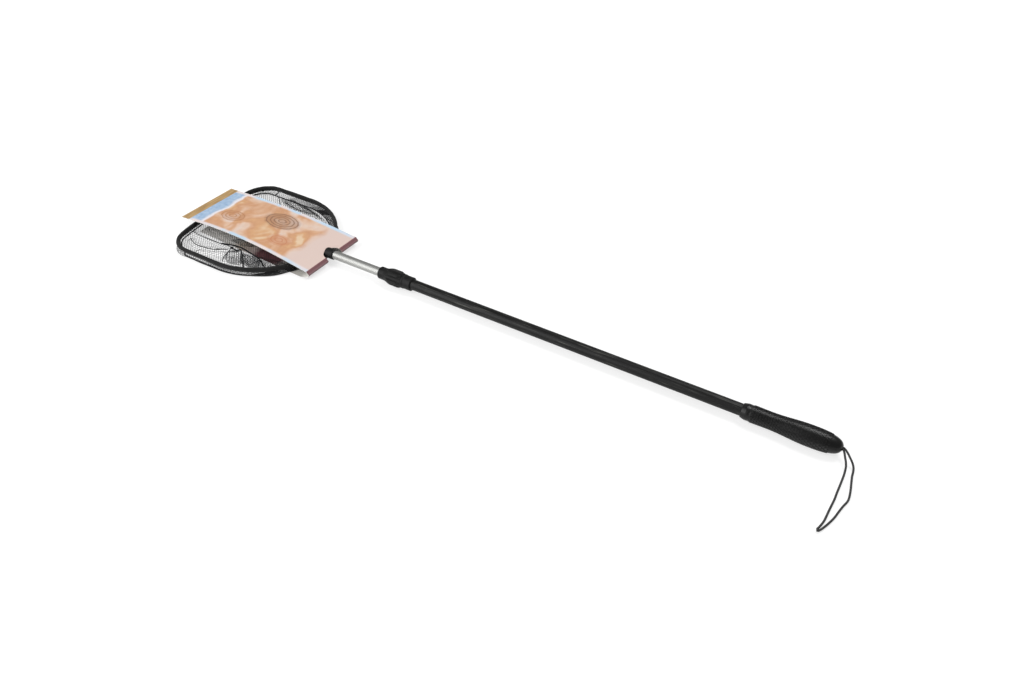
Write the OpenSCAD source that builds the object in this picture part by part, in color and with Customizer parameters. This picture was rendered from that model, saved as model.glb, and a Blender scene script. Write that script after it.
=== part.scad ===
// Telescopic pond net, pushed together and lying on the floor with its sleeve card still on.
// The pole runs along X: hoop and bag at -X, grip and wrist cord at +X. The floor is z = 0.

/* [Pole] */
// Outside diameter of the outer tube
outer_d = 19; // [17:0.5:24]
// Wall of the outer tube
outer_wall = 1; // [0.7:0.1:1.4]
// Gap between the outer and the inner tube, on the radius
tube_gap = 0.5; // [0.4:0.05:0.9]
// Wall of the inner tube
inner_wall = 0.9; // [0.6:0.1:1.4]
// Length of outer tube between the lock and the grip
shown_outer = 592; // [400:1:900]
// Length of inner tube in view with the pole pushed together
shown_inner = 104; // [60:1:200]
// Length of the bush that guides the inner tube's hidden end
bush_len = 12; // [8:1:24]
// Depth of every plug and spigot that sits in a tube
spigot_len = 16; // [10:1:30]

/* [Twist lock] */
// Length of the twist nut
nut_len = 50; // [44:1:72]
// Length of the nut's round nose
nose_len = 11; // [8:1:20]
// Wall of the nut's nose
nose_wall = 2.85; // [2:0.05:4]
// Wall of the nut at the bottom of its flutes
nut_wall = 1.75; // [1.2:0.05:3]
// Height of the nut's lobes above its flutes
lobe_rise = 2.7; // [1:0.1:4]
// Number of lobes round the nut
lobe_count = 6; // [4:1:10]
// Width of each flute across the nut
flute_w = 9; // [5:0.5:10]
// Length of the lock's sleeve on the outer tube
sleeve_len = 21; // [14:1:36]
// Wall of that sleeve
sleeve_wall = 2.7; // [1.6:0.1:4]
// Length of the neck inside the nut
neck_len = 24; // [16:1:26]
// Wall of the neck round the collet's mouth
neck_wall = 0.85; // [0.6:0.05:1.6]
// Length of the split collet
collet_len = 16; // [12:1:20]
// Wall of the split collet
collet_wall = 1.6; // [1.2:0.1:2.4]
// Width of the slit in the collet
collet_slit = 1.6; // [0.8:0.1:3]
// Length of the cones that close the collet
cone_len = 4; // [3:0.5:5]

/* [Grip] */
// Length of the grip
grip_len = 145; // [130:1:180]
// Diameter of the grip behind its front chamfer
grip_front_d = 25.4; // [23.5:0.1:29]
// Diameter of the grip at its waist
grip_waist_d = 24.8; // [23:0.1:29]
// Diameter of the grip at its belly
grip_belly_d = 31.5; // [30:0.1:38]
// Length of the chamfer at the grip's front
grip_chamfer = 7; // [4:0.5:12]
// Distance of the waist from the grip's front
waist_at = 42; // [30:1:52]
// Distance of the belly from the grip's front
belly_at = 99; // [85:1:106]
// Power of the butt's curve: 1 gives an ellipse, less gives a blunter end
butt_power = 0.7; // [0.5:0.05:1]
// Diameter of the lip round the cord hole
lip_d = 10.5; // [9:0.5:13]
// Diameter of the cord hole
cord_hole_d = 7; // [6.4:0.2:7.6]
// Solid rubber behind the cord's knot
butt_wall = 12; // [9:1:16]
// Length of the hollow that holds the cord's knot
knot_room = 10; // [8:1:14]

/* [Hoop] */
// Diameter of the hoop wire
wire_d = 5; // [3:0.5:5.5]
// Outside diameter of the cloth sleeve round the wire
rim_d = 8; // [7:0.1:11]
// Width of the hoop between wire centres
hoop_w = 251; // [220:1:320]
// Length of the hoop from its neck to its far end, at wire centre
hoop_len = 282; // [265:1:340]
// Radius of the nearly straight far end
far_r = 500; // [300:10:900]
// Radius of the far corners
corner_r = 48; // [30:1:80]
// Radius of the shoulders that run in to the neck
shoulder_r = 139; // [131:1:150]
// Radius of the bends where the wire turns into the socket
bend_r = 9; // [6:0.5:14]
// Distance between the two wire tails, centre to centre
tail_pitch = 8; // [6:0.5:8.5]
// Straight wire between the bends and the socket
tail_lead = 6; // [3:0.5:14]
// Drop of the hoop below the pole's axis
hoop_drop = 3.5; // [2:0.1:4.5]
// Half width of the neck left bare of cloth
bare_neck = 18; // [15:1:26]

/* [Socket] */
// Length of the hoop socket in front of the inner tube
socket_len = 19; // [17:1:34]
// Diameter of the hoop socket
socket_d = 19.5; // [19:0.5:26]

/* [Bag] */
// Thickness of the gathered net
net_t = 1.2; // [0.8:0.1:2]
// How far the slack wall of the bag bellies out past the hoop
bag_belly = 2; // [0:0.5:4]
// Width of the bound seams
seam_w = 4; // [2:0.5:8]
// Thickness of the bound seams
seam_t = 1.4; // [0.6:0.1:3]

/* [Card] */
// Width of the sleeve card
card_w = 132; // [100:1:150]
// Length of the card's front panel
front_len = 332; // [300:1:380]
// Length of the card's back panel
back_len = 290; // [220:1:300]
// Thickness of the board
board_t = 0.6; // [0.4:0.1:1]
// Width of the sloping edge between front panel and fold
edge_run = 4; // [2:0.5:8]
// Drop of that edge
edge_drop = 4; // [2:0.5:8]
// Height of the front panel's arch over the net
card_arch = 10; // [0:0.5:14]
// How much narrower the card is at its free end, on each side
card_taper = 3; // [0:0.5:6]
// Radius of the hole that the pole passes through
card_hole_r = 18; // [17:0.5:26]
// Distance of the hole's middle from the fold, towards the hoop
card_hole_in = 3; // [0:0.5:5]
// Distance of the fold in front of the inner tube's end
fold_lead = 1; // [0:0.5:6]
// Sideways offset of the card
card_side = -3; // [-8:1:8]
// Turn of the card on the net, in degrees
card_turn = 2; // [-4:0.5:4]

/* [Wrist cord] */
// Diameter of the wrist cord
cord_d = 2.8; // [2:0.1:3]
// Diameter of the knot inside the grip
knot_d = 9.6; // [8:0.2:12]
// Diameter of the bead at the loop's end
bead_d = 5.4; // [4.4:0.2:7]

/* [Clearances] */
// Running clearance on the radius
run_gap = 0.05; // [0.02:0.01:0.1]
// Clearance between pieces that must not touch
free_gap = 0.3; // [0.2:0.05:0.5]

/* [Hidden] */
$fn = 64;
black_plastic = [0.06, 0.06, 0.065];
over = 1;
joint_blend = 0.02;
ring_rise = 0.6;
collet_edge = 0.4;
spigot_wall = 2;
tail_stop = 3;

// Radii along the pole
outer_r = outer_d / 2;
outer_bore = outer_r - outer_wall;
inner_r = outer_bore - tube_gap;
inner_bore = inner_r - inner_wall;
pass_r = inner_r + free_gap + run_gap;
collet_r = inner_r + run_gap + collet_wall;
collet_tip = inner_r + run_gap + collet_edge;
neck_r = collet_r + neck_wall;
nut_bore = neck_r + run_gap;
flute_floor = nut_bore + nut_wall;
lobe_r = flute_floor + lobe_rise;
nose_r = pass_r + nose_wall;
sleeve_r = outer_r + run_gap + sleeve_wall;
ring_r = sleeve_r + ring_rise;
belly_r = grip_belly_d / 2;
axis_z = max(belly_r, lobe_r);

// Stations along the pole, with the whole part centred on x = 0
card_reach = (front_len + edge_run) * cos(card_turn) + (card_w / 2 - card_taper) * sin(abs(card_turn));
pole_run = grip_len + shown_outer + sleeve_len + nut_len + shown_inner;
x_butt = (pole_run + fold_lead + card_reach) / 2;
x_grip = x_butt - grip_len;
x_sleeve = x_grip - shown_outer;
x_nut_back = x_sleeve - sleeve_len;
x_nut = x_nut_back - nut_len;
x_inner = x_nut - shown_inner;
x_socket = x_inner - socket_len;
x_fold = x_inner - fold_lead;
x_neck = x_nut_back - neck_len;
x_collet_back = x_neck + cone_len - free_gap;
x_collet = x_collet_back - collet_len;
x_knot = x_butt - butt_wall - knot_room;
plug_flange = 2;
x_outer_end = x_knot - plug_flange;
x_plug = x_outer_end - spigot_len;
x_inner_end = x_plug - free_gap - bush_len;

// Hoop outline: far arc, corner arcs, straight sides, shoulder arcs and neck bends
hoop_half = hoop_w / 2;
tail_y = tail_pitch / 2;
hoop_z = axis_z - hoop_drop;
rim_r = rim_d / 2;
wire_r = wire_d / 2;
x_bend = x_socket - tail_lead;
x_far = x_bend - hoop_len;
shoulder_y = hoop_half - shoulder_r;
bend_y = tail_y + bend_r;
shoulder_x = x_bend - sqrt(pow(shoulder_r + bend_r, 2) - pow(bend_y - shoulder_y, 2));
far_x = x_far + far_r;
corner_y = hoop_half - corner_r;
corner_x = far_x - sqrt(pow(far_r - corner_r, 2) - pow(corner_y, 2));
far_angle = atan2(corner_y, far_x - corner_x);
bend_angle = atan2(bend_y - shoulder_y, x_bend - shoulder_x);
bare_angle = asin((bare_neck - shoulder_y) / shoulder_r);

// Heights of the net and the card
rim_low = hoop_z - rim_r;
front_z = hoop_z + rim_r + free_gap + board_t / 2;
back_z = board_t / 2;
fold_z = front_z - edge_drop;
bag_low = board_t + free_gap;
bag_floor = bag_low + net_t;
back_rise = 30;

// Wrist cord: [distance past the butt, y, height], chosen by eye along the cord
strand_y = cord_d / 2 + 0.1;
lie_z = cord_d / 2 + 0.1;
long_route = [[-butt_wall, strand_y, axis_z], [-4, strand_y, axis_z], [2, 1.2, axis_z - 0.3],
    [8, -3.6, 14.2], [13, -7.4, 11], [17.9, -11, 7.2], [21.4, -15, 3.6], [23.1, -21, 1.8],
    [23.8, -30, lie_z], [25.6, -42, lie_z], [27.6, -54, lie_z], [29, -66, lie_z], [29, -76, lie_z],
    [25.7, -88, lie_z], [23.2, -99, lie_z], [20.5, -112, lie_z], [16.4, -125, lie_z],
    [12, -136, lie_z], [9.1, -142.2, 2]];
short_route = [[-butt_wall, -strand_y, axis_z], [-4, -strand_y, axis_z], [0.8, -1.9, axis_z - 0.3],
    [4, -5.6, 14.2], [6.8, -11, 12], [10, -16.6, 9.2], [12.2, -22, 6], [13.2, -27.6, 3.2],
    [13.6, -34, 1.7], [13.6, -44, lie_z], [13.4, -56, lie_z], [13.1, -69, lie_z], [13, -83, lie_z],
    [12, -97, lie_z], [11.2, -110, lie_z], [10.4, -123, lie_z], [8.2, -134, lie_z], [5.9, -141.6, 2]];
bead_at = [7.3, -143.6, bead_d / 2];

// Smooth step from a to b
function ease(a, b, t) = a + (b - a) * (1 - cos(180 * t)) / 2;

// Points of an arc about c
function arc(c, r, from, to, n) =
    [for (i = [0:n]) let (a = from + (to - from) * i / n) c + r * [cos(a), sin(a)]];

function reverse(list) = [for (i = [len(list) - 1:-1:0]) list[i]];

// Point on the curve through four route points, between the second and the third
function between(a, b, c, d, t) =
    (2 * b + (c - a) * t + (2 * a - 5 * b + 4 * c - d) * t * t + (3 * b - a - 3 * c + d) * t * t * t) / 2;

// Route points with one more point between each pair
function fill_route(p) = let (last = len(p) - 1) concat(
    [for (i = [0:last - 1], t = [0, 0.5])
        between(p[max(i - 1, 0)], p[i], p[i + 1], p[min(i + 2, last)], t)],
    [p[last]]);

// Half of the hoop's outline moved out by d, from the bare neck to the far end's middle
function half_outline(d) = concat(
    arc([shoulder_x, shoulder_y], shoulder_r + d, bare_angle, 90, 9),
    arc([corner_x, corner_y], corner_r + d, 90, 180 - far_angle, 6),
    [for (a = [far_angle / 2, 0]) [far_x, 0] + (far_r + d) * [-cos(a), sin(a)]]);

// Whole outline, closed across the neck
function outline(d) = let (half = half_outline(d)) concat(half,
    [for (i = [len(half) - 2:-1:0]) [half[i].x, -half[i].y]]);

// Revolves a profile of [x, radius] points about the pole's axis
module turned(profile) {
    translate([0, 0, axis_z]) rotate([0, 90, 0]) rotate([0, 0, 180])
        rotate_extrude() polygon([for (p = profile) [p.y, p.x]]);
}

// Round bar or bore on the pole's axis
module bar(from, to, r) {
    translate([from, 0, axis_z]) rotate([0, 90, 0]) cylinder(h = to - from, r = r);
}

// Round bar of radius r bent through an arc of the hoop
module hoop_arc(center, bend, from, to, r) {
    translate(center) rotate(from)
        rotate_extrude(angle = to - from, $fn = 160) translate([bend, 0]) circle(r);
}

// Round bar of radius r straight along X
module hoop_line(from, to, y, r) {
    translate([from, y, 0]) rotate([0, 90, 0]) cylinder(h = to - from, r = r);
}

// Ball that runs one stretch of the hoop into the next, on an arc about a centre
module hoop_joint(center, bend, angle, r) {
    translate(center) rotate(angle) translate([bend, 0]) sphere(r + joint_blend);
}

// Round bar of radius r round the hoop, with each shoulder starting at an angle
module hoop_sweep(start, r) {
    hoop_arc([far_x, 0], far_r, 180 - far_angle, 180 + far_angle, r);
    for (side = [0, 1]) mirror([0, side, 0]) {
        hoop_joint([far_x, 0], far_r, 180 - far_angle, r);
        hoop_arc([corner_x, corner_y], corner_r, 90, 180 - far_angle, r);
        hoop_joint([corner_x, corner_y], corner_r, 90, r);
        hoop_line(corner_x, shoulder_x, hoop_half, r);
        hoop_joint([shoulder_x, shoulder_y], shoulder_r, 90, r);
        hoop_arc([shoulder_x, shoulder_y], shoulder_r, start, 90, r);
    }
}

// Eight-sided tube along route points, with flat ends
module tube(route, r) {
    sides = 8;
    p = [for (q = fill_route(route)) q + [x_butt, 0, 0]];
    last = len(p) - 1;
    rings = [for (i = [0:last])
        let (t = p[min(i + 1, last)] - p[max(i - 1, 0)], along = t / norm(t),
            level = cross([0, 0, 1], along), side = level / norm(level), up = cross(along, side))
        for (k = [0:sides - 1])
            let (a = 360 * (k + 0.5) / sides) p[i] + r * (cos(a) * side + sin(a) * up)];
    walls = [for (i = [0:last - 1], k = [0:sides - 1])
        let (a = i * sides + k, b = i * sides + (k + 1) % sides)
            each [[a, a + sides, b], [b, a + sides, b + sides]]];
    start = [for (k = [1:sides - 2]) [0, k, k + 1]];
    end = [for (k = [1:sides - 2]) [last * sides, last * sides + k + 1, last * sides + k]];
    polyhedron(rings, concat(walls, start, end));
}

module outer_tube() {
    color([0.05, 0.05, 0.055])
        difference() {
            bar(x_nut_back, x_outer_end, outer_r);
            bar(x_nut_back - over, x_outer_end + over, outer_bore);
        }
}

// Cup that closes the outer tube and stops the inner one
module end_plug() {
    plug_r = outer_bore - run_gap;
    color(black_plastic)
        difference() {
            union() {
                bar(x_plug, x_outer_end + plug_flange, plug_r);
                bar(x_outer_end, x_outer_end + plug_flange, outer_r);
            }
            bar(x_plug - over, x_outer_end, plug_r - spigot_wall);
        }
}

// Moulded grip: chamfered front, waist, belly, rounded butt and a lip round the cord hole
module grip() {
    steps = 14;
    lip_edge = 0.8;
    lip_r = lip_d / 2;
    lip_angle = asin(pow(lip_r / belly_r, 1 / butt_power));
    butt_run = (grip_len - lip_edge - belly_at) / pow(cos(lip_angle), butt_power);
    front_r = grip_front_d / 2;
    waist_r = grip_waist_d / 2;
    mouth_r = (outer_r + front_r) / 2;
    profile = concat(
        [[x_grip, 0], [x_grip, mouth_r]],
        [for (i = [0:steps]) let (t = i / steps)
            [x_grip + grip_chamfer + (waist_at - grip_chamfer) * t, ease(front_r, waist_r, t)]],
        [for (i = [1:steps]) let (t = i / steps)
            [x_grip + waist_at + (belly_at - waist_at) * t, ease(waist_r, belly_r, t)]],
        [for (i = [1:steps]) let (a = 90 - (90 - lip_angle) * i / steps)
            [x_grip + belly_at + butt_run * pow(cos(a), butt_power), belly_r * pow(sin(a), butt_power)]],
        [[x_butt, lip_r - lip_edge], [x_butt, 0]]);
    color([0.08, 0.08, 0.085])
        difference() {
            turned(profile);
            bar(x_grip - over, x_knot, outer_r + run_gap);
            bar(x_knot - over, x_knot + knot_room, knot_d / 2 + free_gap);
            bar(x_knot, x_butt + over, cord_hole_d / 2);
        }
}

// Sleeve bonded on the outer tube, with the neck that the nut turns on
module lock_body() {
    ring_len = 5;
    ring_edge = 1;
    end_edge = 1.5;
    color(black_plastic)
        difference() {
            turned([[x_neck, 0], [x_neck, neck_r], [x_nut_back, neck_r], [x_nut_back, sleeve_r],
                [x_nut_back + ring_edge, ring_r], [x_nut_back + ring_len - ring_edge, ring_r],
                [x_nut_back + ring_len, sleeve_r], [x_sleeve - end_edge, sleeve_r],
                [x_sleeve, sleeve_r - end_edge], [x_sleeve, 0]]);
            bar(x_nut_back, x_sleeve + over, outer_r + run_gap);
            bar(x_neck - over, x_sleeve, pass_r);
            turned([[x_neck - over, 0], [x_neck - over, collet_r], [x_neck, collet_r],
                [x_neck + cone_len, collet_tip + run_gap], [x_neck + cone_len, 0]]);
        }
}

// Slit ring with a cone at each end, squeezed on the inner tube by the nut
module collet() {
    color([0.75, 0.75, 0.72])
        difference() {
            turned([[x_collet, 0], [x_collet, collet_tip], [x_collet + cone_len, collet_r - free_gap],
                [x_collet_back - cone_len, collet_r - free_gap], [x_collet_back, collet_tip],
                [x_collet_back, 0]]);
            bar(x_collet - over, x_collet_back + over, inner_r + run_gap);
            translate([x_collet - over, -collet_slit / 2, axis_z])
                cube([collet_len + 2 * over, collet_slit, collet_r + over]);
        }
}

// Twist nut: round nose, then lobes parted by flutes
module lock_nut() {
    steps = 8;
    nose_round = 2.2;
    rise_share = 0.42;
    tail_len = 8;
    lobe_start = nose_len + (nut_len - nose_len) * rise_share;
    lobe_end = nut_len - tail_len;
    tail_r = max(ring_r, flute_floor);
    flute_r = flute_w * flute_w / 8 / lobe_rise + lobe_rise / 2;
    x_seat = x_collet + cone_len;
    profile = concat(
        [[x_nut, 0]],
        [for (p = arc([nose_round, nose_r - nose_round], nose_round, 180, 90, 4)) [x_nut + p.x, p.y]],
        [for (i = [0:steps]) let (t = i / steps)
            [x_nut + nose_len + (lobe_start - nose_len) * t, ease(nose_r, lobe_r, t)]],
        [for (i = [0:steps]) let (t = i / steps)
            [x_nut + lobe_end + (nut_len - free_gap - lobe_end) * t, ease(lobe_r, tail_r, t)]],
        [[x_nut_back - free_gap, 0]]);
    color(black_plastic)
        difference() {
            turned(profile);
            for (i = [0:lobe_count - 1])
                translate([x_nut + nose_len, 0, axis_z]) rotate([360 * i / lobe_count, 0, 0])
                    translate([0, 0, flute_floor + flute_r]) rotate([0, 90, 0])
                        cylinder(h = nut_len, r = flute_r);
            bar(x_nut - over, x_nut_back, pass_r);
            bar(x_seat, x_nut_back + over, nut_bore);
            turned([[x_collet - free_gap, 0], [x_collet - free_gap, collet_tip + free_gap],
                [x_seat, collet_r], [x_seat + over, collet_r], [x_seat + over, 0]]);
        }
}

// Bush that slides in the outer tube and turns in the end of the inner one
module slide_bush() {
    spigot_r = inner_bore - run_gap;
    color([0.82, 0.82, 0.8])
        difference() {
            union() {
                bar(x_inner_end, x_inner_end + bush_len, outer_bore - run_gap);
                bar(x_inner_end - spigot_len, x_inner_end, spigot_r);
            }
            bar(x_inner_end - spigot_len - over, x_inner_end + bush_len + over, spigot_r - spigot_wall);
        }
}

module inner_tube() {
    color([0.78, 0.78, 0.78])
        difference() {
            bar(x_inner, x_inner_end, inner_r);
            bar(x_inner - over, x_inner_end + over, inner_bore);
        }
}

// Socket plugged into the inner tube, with a hole for each wire tail
module hoop_socket() {
    socket_r = socket_d / 2;
    face_r = tail_y + wire_r + spigot_wall;
    round_len = 7;
    end_run = 2;
    end_drop = 1.2;
    color(black_plastic)
        difference() {
            union() {
                turned(concat([[x_socket, 0]],
                    [for (i = [0:6]) let (a = 90 * i / 6)
                        [x_socket + round_len * (1 - cos(a)), face_r + (socket_r - face_r) * sin(a)]],
                    [[x_inner - end_run, socket_r], [x_inner, socket_r - end_drop], [x_inner, 0]]));
                bar(x_inner - over, x_inner + spigot_len, inner_bore - run_gap);
            }
            for (side = [-1, 1])
                translate([x_socket - over, side * tail_y, hoop_z]) rotate([0, 90, 0])
                    cylinder(h = socket_len - tail_stop + over, r = wire_r + run_gap);
        }
}

// One wire bent to the hoop, with both tails side by side in the socket
module hoop_wire() {
    tail_end = x_inner - tail_stop - free_gap;
    color([0.12, 0.12, 0.13])
        translate([0, 0, hoop_z]) {
            hoop_sweep(bend_angle, wire_r);
            for (side = [0, 1]) mirror([0, side, 0]) {
                hoop_joint([x_bend, bend_y], bend_r, 180 + bend_angle, wire_r);
                hoop_arc([x_bend, bend_y], bend_r, 180 + bend_angle, 270, wire_r);
                hoop_joint([x_bend, bend_y], bend_r, 270, wire_r);
                hoop_line(x_bend, tail_end, tail_y, wire_r);
            }
        }
}

// Cloth sleeve sewn round the wire
module rim_sleeve() {
    cut_past = 2;
    color([0.04, 0.04, 0.04])
        translate([0, 0, hoop_z])
            difference() {
                hoop_sweep(bare_angle, rim_r);
                hoop_sweep(bare_angle - cut_past, wire_r + free_gap);
            }
}

// Net bag lying collapsed under the hoop: an open dish with a slack wall
module net_bag() {
    foot_in = 4;
    foot_rise = 1.6;
    foot_out = bag_belly - 0.5;
    belly_z = rim_low * 0.6;
    top_z = rim_low - free_gap;
    outer_rings = [[0, top_z], [bag_belly, belly_z], [foot_out, bag_low + foot_rise], [-foot_in, bag_low]];
    inner_rings = [[-foot_in - net_t, bag_floor], [foot_out - net_t, bag_floor + foot_rise],
        [bag_belly - net_t, belly_z], [-net_t, top_z]];
    rings = concat(outer_rings, inner_rings);
    count = len(outline(0));
    rows = len(rings);
    middle = [(x_far + x_bend) / 2, 0];
    points = concat([for (r = rings, p = outline(r[0])) [p.x, p.y, r[1]]],
        [[middle.x, middle.y, bag_low], [middle.x, middle.y, bag_floor]]);
    low = rows * count;
    function at(row, k) = (row % rows) * count + k % count;
    walls = [for (row = [0, 1, 2, 4, 5, 6, 7], k = [0:count - 1])
        let (a = at(row, k), b = at(row, k + 1), c = at(row + 1, k), d = at(row + 1, k + 1))
            each [[a, b, c], [b, d, c]]];
    under = [for (k = [0:count - 1]) [at(3, k), at(3, k + 1), low]];
    above = [for (k = [0:count - 1]) [at(4, k + 1), at(4, k), low + 1]];
    color([0.1, 0.1, 0.1, 0.6]) polyhedron(points, concat(walls, under, above));
}

// Bound seams lying in the bag, which meet where its panels come together
module bag_seams() {
    seam_z = bag_floor + free_gap;
    hub_d = 2.5 * seam_w;
    edge_in = 10;
    meet = [x_far + hoop_len * 0.43, -hoop_w * 0.2];
    ends = [[x_far + 2 * edge_in, hoop_w * 0.05], [x_bend - 5 * edge_in, -hoop_w * 0.16],
        [x_far + hoop_len * 0.5, edge_in - hoop_half], [x_far + hoop_len * 0.42, hoop_half - edge_in]];
    color([0.03, 0.03, 0.03])
        translate([meet.x, meet.y, seam_z]) {
            cylinder(h = seam_t, d = hub_d);
            for (e = ends) rotate(atan2(e.y - meet.y, e.x - meet.x))
                translate([0, -seam_w / 2, 0]) cube([norm(e - meet), seam_w, seam_t]);
        }
}

// Strip of board along a line of points, as a polygon of the board's thickness
function ribbon(p, t) = let (last = len(p) - 1,
    n = [for (i = [0:last]) let (d = p[min(i + 1, last)] - p[max(i - 1, 0)]) [-d.y, d.x] / norm(d) * t / 2])
    concat([for (i = [0:last]) p[i] + n[i]], reverse([for (i = [0:last]) p[i] - n[i]]));

// Card folded round the net head, with a hole at the fold for the pole
module sleeve_card() {
    bend_steps = 8;
    arch_steps = 16;
    end_x = -edge_run - front_len;
    half = card_w / 2;
    line = concat(
        [for (i = [0:arch_steps]) let (t = i / arch_steps)
            [end_x + front_len * t, front_z + card_arch * sin(180 * t)]],
        [for (i = [0:bend_steps]) let (a = 90 * i / bend_steps)
            [-back_rise * (1 - cos(a)), fold_z + (back_z - fold_z) * sin(a)]],
        [[-back_len, back_z]]);
    color([0.85, 0.66, 0.5])
        translate([x_fold, card_side, 0]) rotate(-card_turn)
            difference() {
                intersection() {
                    rotate([90, 0, 0]) linear_extrude(card_w, center = true) polygon(ribbon(line, board_t));
                    linear_extrude(front_z + card_arch + over)
                        polygon([[over, -half], [over, half], [end_x - over, half - card_taper],
                            [end_x - over, card_taper - half]]);
                }
                translate([-card_hole_in, -card_side, -over])
                    cylinder(h = front_z + card_arch + 2 * over, r = card_hole_r);
            }
}

// Stopper knot of the wrist cord in the grip's hollow
module cord_knot() {
    r = knot_d / 2;
    back = x_butt - butt_wall - run_gap;
    start = x_knot + free_gap;
    corner = 1.6;
    color([0.05, 0.05, 0.05])
        turned([[start, 0], [start, r - corner], [start + corner, r], [back - corner, r],
            [back, r - corner], [back, 0]]);
}

module cord_strand_long() {
    color([0.05, 0.05, 0.05]) tube(long_route, cord_d / 2);
}

module cord_strand_short() {
    color([0.05, 0.05, 0.05]) tube(short_route, cord_d / 2);
}

// Bead that holds the two strands together at the end of the loop
module cord_bead() {
    color([0.05, 0.05, 0.05]) translate(bead_at + [x_butt, 0, 0]) sphere(bead_d / 2);
}

outer_tube();
end_plug();
grip();
lock_body();
collet();
lock_nut();
slide_bush();
inner_tube();
hoop_socket();
hoop_wire();
rim_sleeve();
net_bag();
bag_seams();
sleeve_card();
cord_knot();
cord_strand_long();
cord_strand_short();
cord_bead();
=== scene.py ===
import math
import bmesh
import bpy
import numpy as np
from mathutils import Matrix, Vector, noise
from mathutils.geometry import delaunay_2d_cdt


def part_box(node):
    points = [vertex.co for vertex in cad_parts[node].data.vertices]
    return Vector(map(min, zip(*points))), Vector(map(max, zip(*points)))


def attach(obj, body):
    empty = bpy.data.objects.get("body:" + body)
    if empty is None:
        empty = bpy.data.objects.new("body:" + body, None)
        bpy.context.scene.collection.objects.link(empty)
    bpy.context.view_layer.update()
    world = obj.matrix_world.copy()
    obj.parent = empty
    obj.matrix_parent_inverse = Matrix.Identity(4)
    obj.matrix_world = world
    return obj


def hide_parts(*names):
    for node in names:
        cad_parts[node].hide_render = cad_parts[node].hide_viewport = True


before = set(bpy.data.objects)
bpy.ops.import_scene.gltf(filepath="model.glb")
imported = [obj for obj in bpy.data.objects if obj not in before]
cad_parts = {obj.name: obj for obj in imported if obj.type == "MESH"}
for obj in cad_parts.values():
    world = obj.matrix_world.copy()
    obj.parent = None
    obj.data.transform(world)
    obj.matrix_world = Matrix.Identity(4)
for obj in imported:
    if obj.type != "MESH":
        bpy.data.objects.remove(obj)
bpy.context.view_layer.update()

mm = 0.001
noiseRange = (0.3, 0.7)  # where most values of a noise pattern lie
scene = bpy.context.scene
scene.view_settings.view_transform = "Standard"


# Small helpers for colour, nodes and meshes

def linearColour(hexValue):
    def channel(start):
        value = int(hexValue[start:start + 2], 16) / 255
        return value / 12.92 if value <= 0.04045 else ((value + 0.055) / 1.055) ** 2.4
    return (channel(1), channel(3), channel(5), 1.0)


def setInputs(tree, node, inputs):
    # Sets or links a node's inputs; a node given as a value stands for its first output
    for key, value in inputs.items():
        if isinstance(value, bpy.types.Node):
            value = value.outputs[0]
        if isinstance(value, bpy.types.NodeSocket):
            tree.links.new(value, node.inputs[key])
        else:
            node.inputs[key].default_value = value


def addNode(tree, kind, *values, inputs=None, stops=(), **settings):
    # Adds a node: values fill its inputs in order, inputs by name, and stops colour a ramp
    node = tree.nodes.new(kind)
    for key, value in settings.items():
        setattr(node, key, value)
    setInputs(tree, node, dict(enumerate(values)))
    setInputs(tree, node, inputs or {})
    for index, (place, hexValue) in enumerate(stops):
        ramp = node.color_ramp.elements
        element = ramp[index] if index < 2 else ramp.new(place)
        element.position = place
        element.color = linearColour(hexValue)
    return node


def newMaterial(name):
    material = bpy.data.materials.new(name)
    material.use_nodes = True
    tree = material.node_tree
    return material, tree, tree.nodes["Principled BSDF"]


def grainedSurface(name, tone, stops, rough, values, bump=None, grain=None):
    # A material coloured along a noise pattern, which is given as its size in mm along the pole and
    # across it, its detail and its unevenness. A pair of roughnesses follows the pattern too. The bump
    # has a strength and a depth in mm, and follows a grain of its own or the same pattern
    material, tree, shader = newMaterial(name)
    place = addNode(tree, "ShaderNodeTexCoord")
    patterns = []
    for along, across, detail, uneven in [tone, grain] if grain else [tone]:
        squeezed = addNode(tree, "ShaderNodeMapping", place.outputs["Object"], inputs={
            "Scale": (1 / (along * mm), 1 / (across * mm), 1 / (across * mm))})
        patterns.append(addNode(tree, "ShaderNodeTexNoise", squeezed, inputs={
            "Scale": 1.0, "Detail": detail, "Roughness": uneven}))
    shade = addNode(tree, "ShaderNodeValToRGB", patterns[0], stops=stops)
    if isinstance(rough, tuple):
        rough = addNode(tree, "ShaderNodeMapRange", patterns[0], *noiseRange, *rough)
    setInputs(tree, shader, {"Base Color": shade, "Roughness": rough, **values})
    if bump:
        relief = addNode(tree, "ShaderNodeBump", inputs={
            "Height": patterns[-1], "Strength": bump[0], "Distance": bump[1] * mm})
        setInputs(tree, shader, {"Normal": relief})
    return material


def placeObject(name, data):
    holder = bpy.data.objects.new(name, data)
    scene.collection.objects.link(holder)
    return holder


def meshFrom(name, points, faces, smoothAngle):
    # A mesh with its doubles merged, its faces turned outwards and edges past an angle left sharp
    mesh = bpy.data.meshes.new(name)
    mesh.from_pydata([tuple(p) for p in points], [], faces)
    work = bmesh.new()
    work.from_mesh(mesh)
    bmesh.ops.remove_doubles(work, verts=work.verts, dist=0.001 * mm)
    bmesh.ops.recalc_face_normals(work, faces=work.faces)
    work.to_mesh(mesh)
    work.free()
    mesh.shade_smooth()
    mesh.set_sharp_from_angle(angle=math.radians(smoothAngle))
    return mesh


def squareMesh(name, x, y, half, level):
    mesh = bpy.data.meshes.new(name)
    mesh.from_pydata([(x - half, y - half, level), (x + half, y - half, level),
                      (x + half, y + half, level), (x - half, y + half, level)], [], [(0, 1, 2, 3)])
    return mesh


def joinMeshes(name, parts):
    joined = bpy.data.meshes.new(name)
    work = bmesh.new()
    for part in parts:
        work.from_mesh(part)
    work.to_mesh(joined)
    work.free()
    return joined


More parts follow.
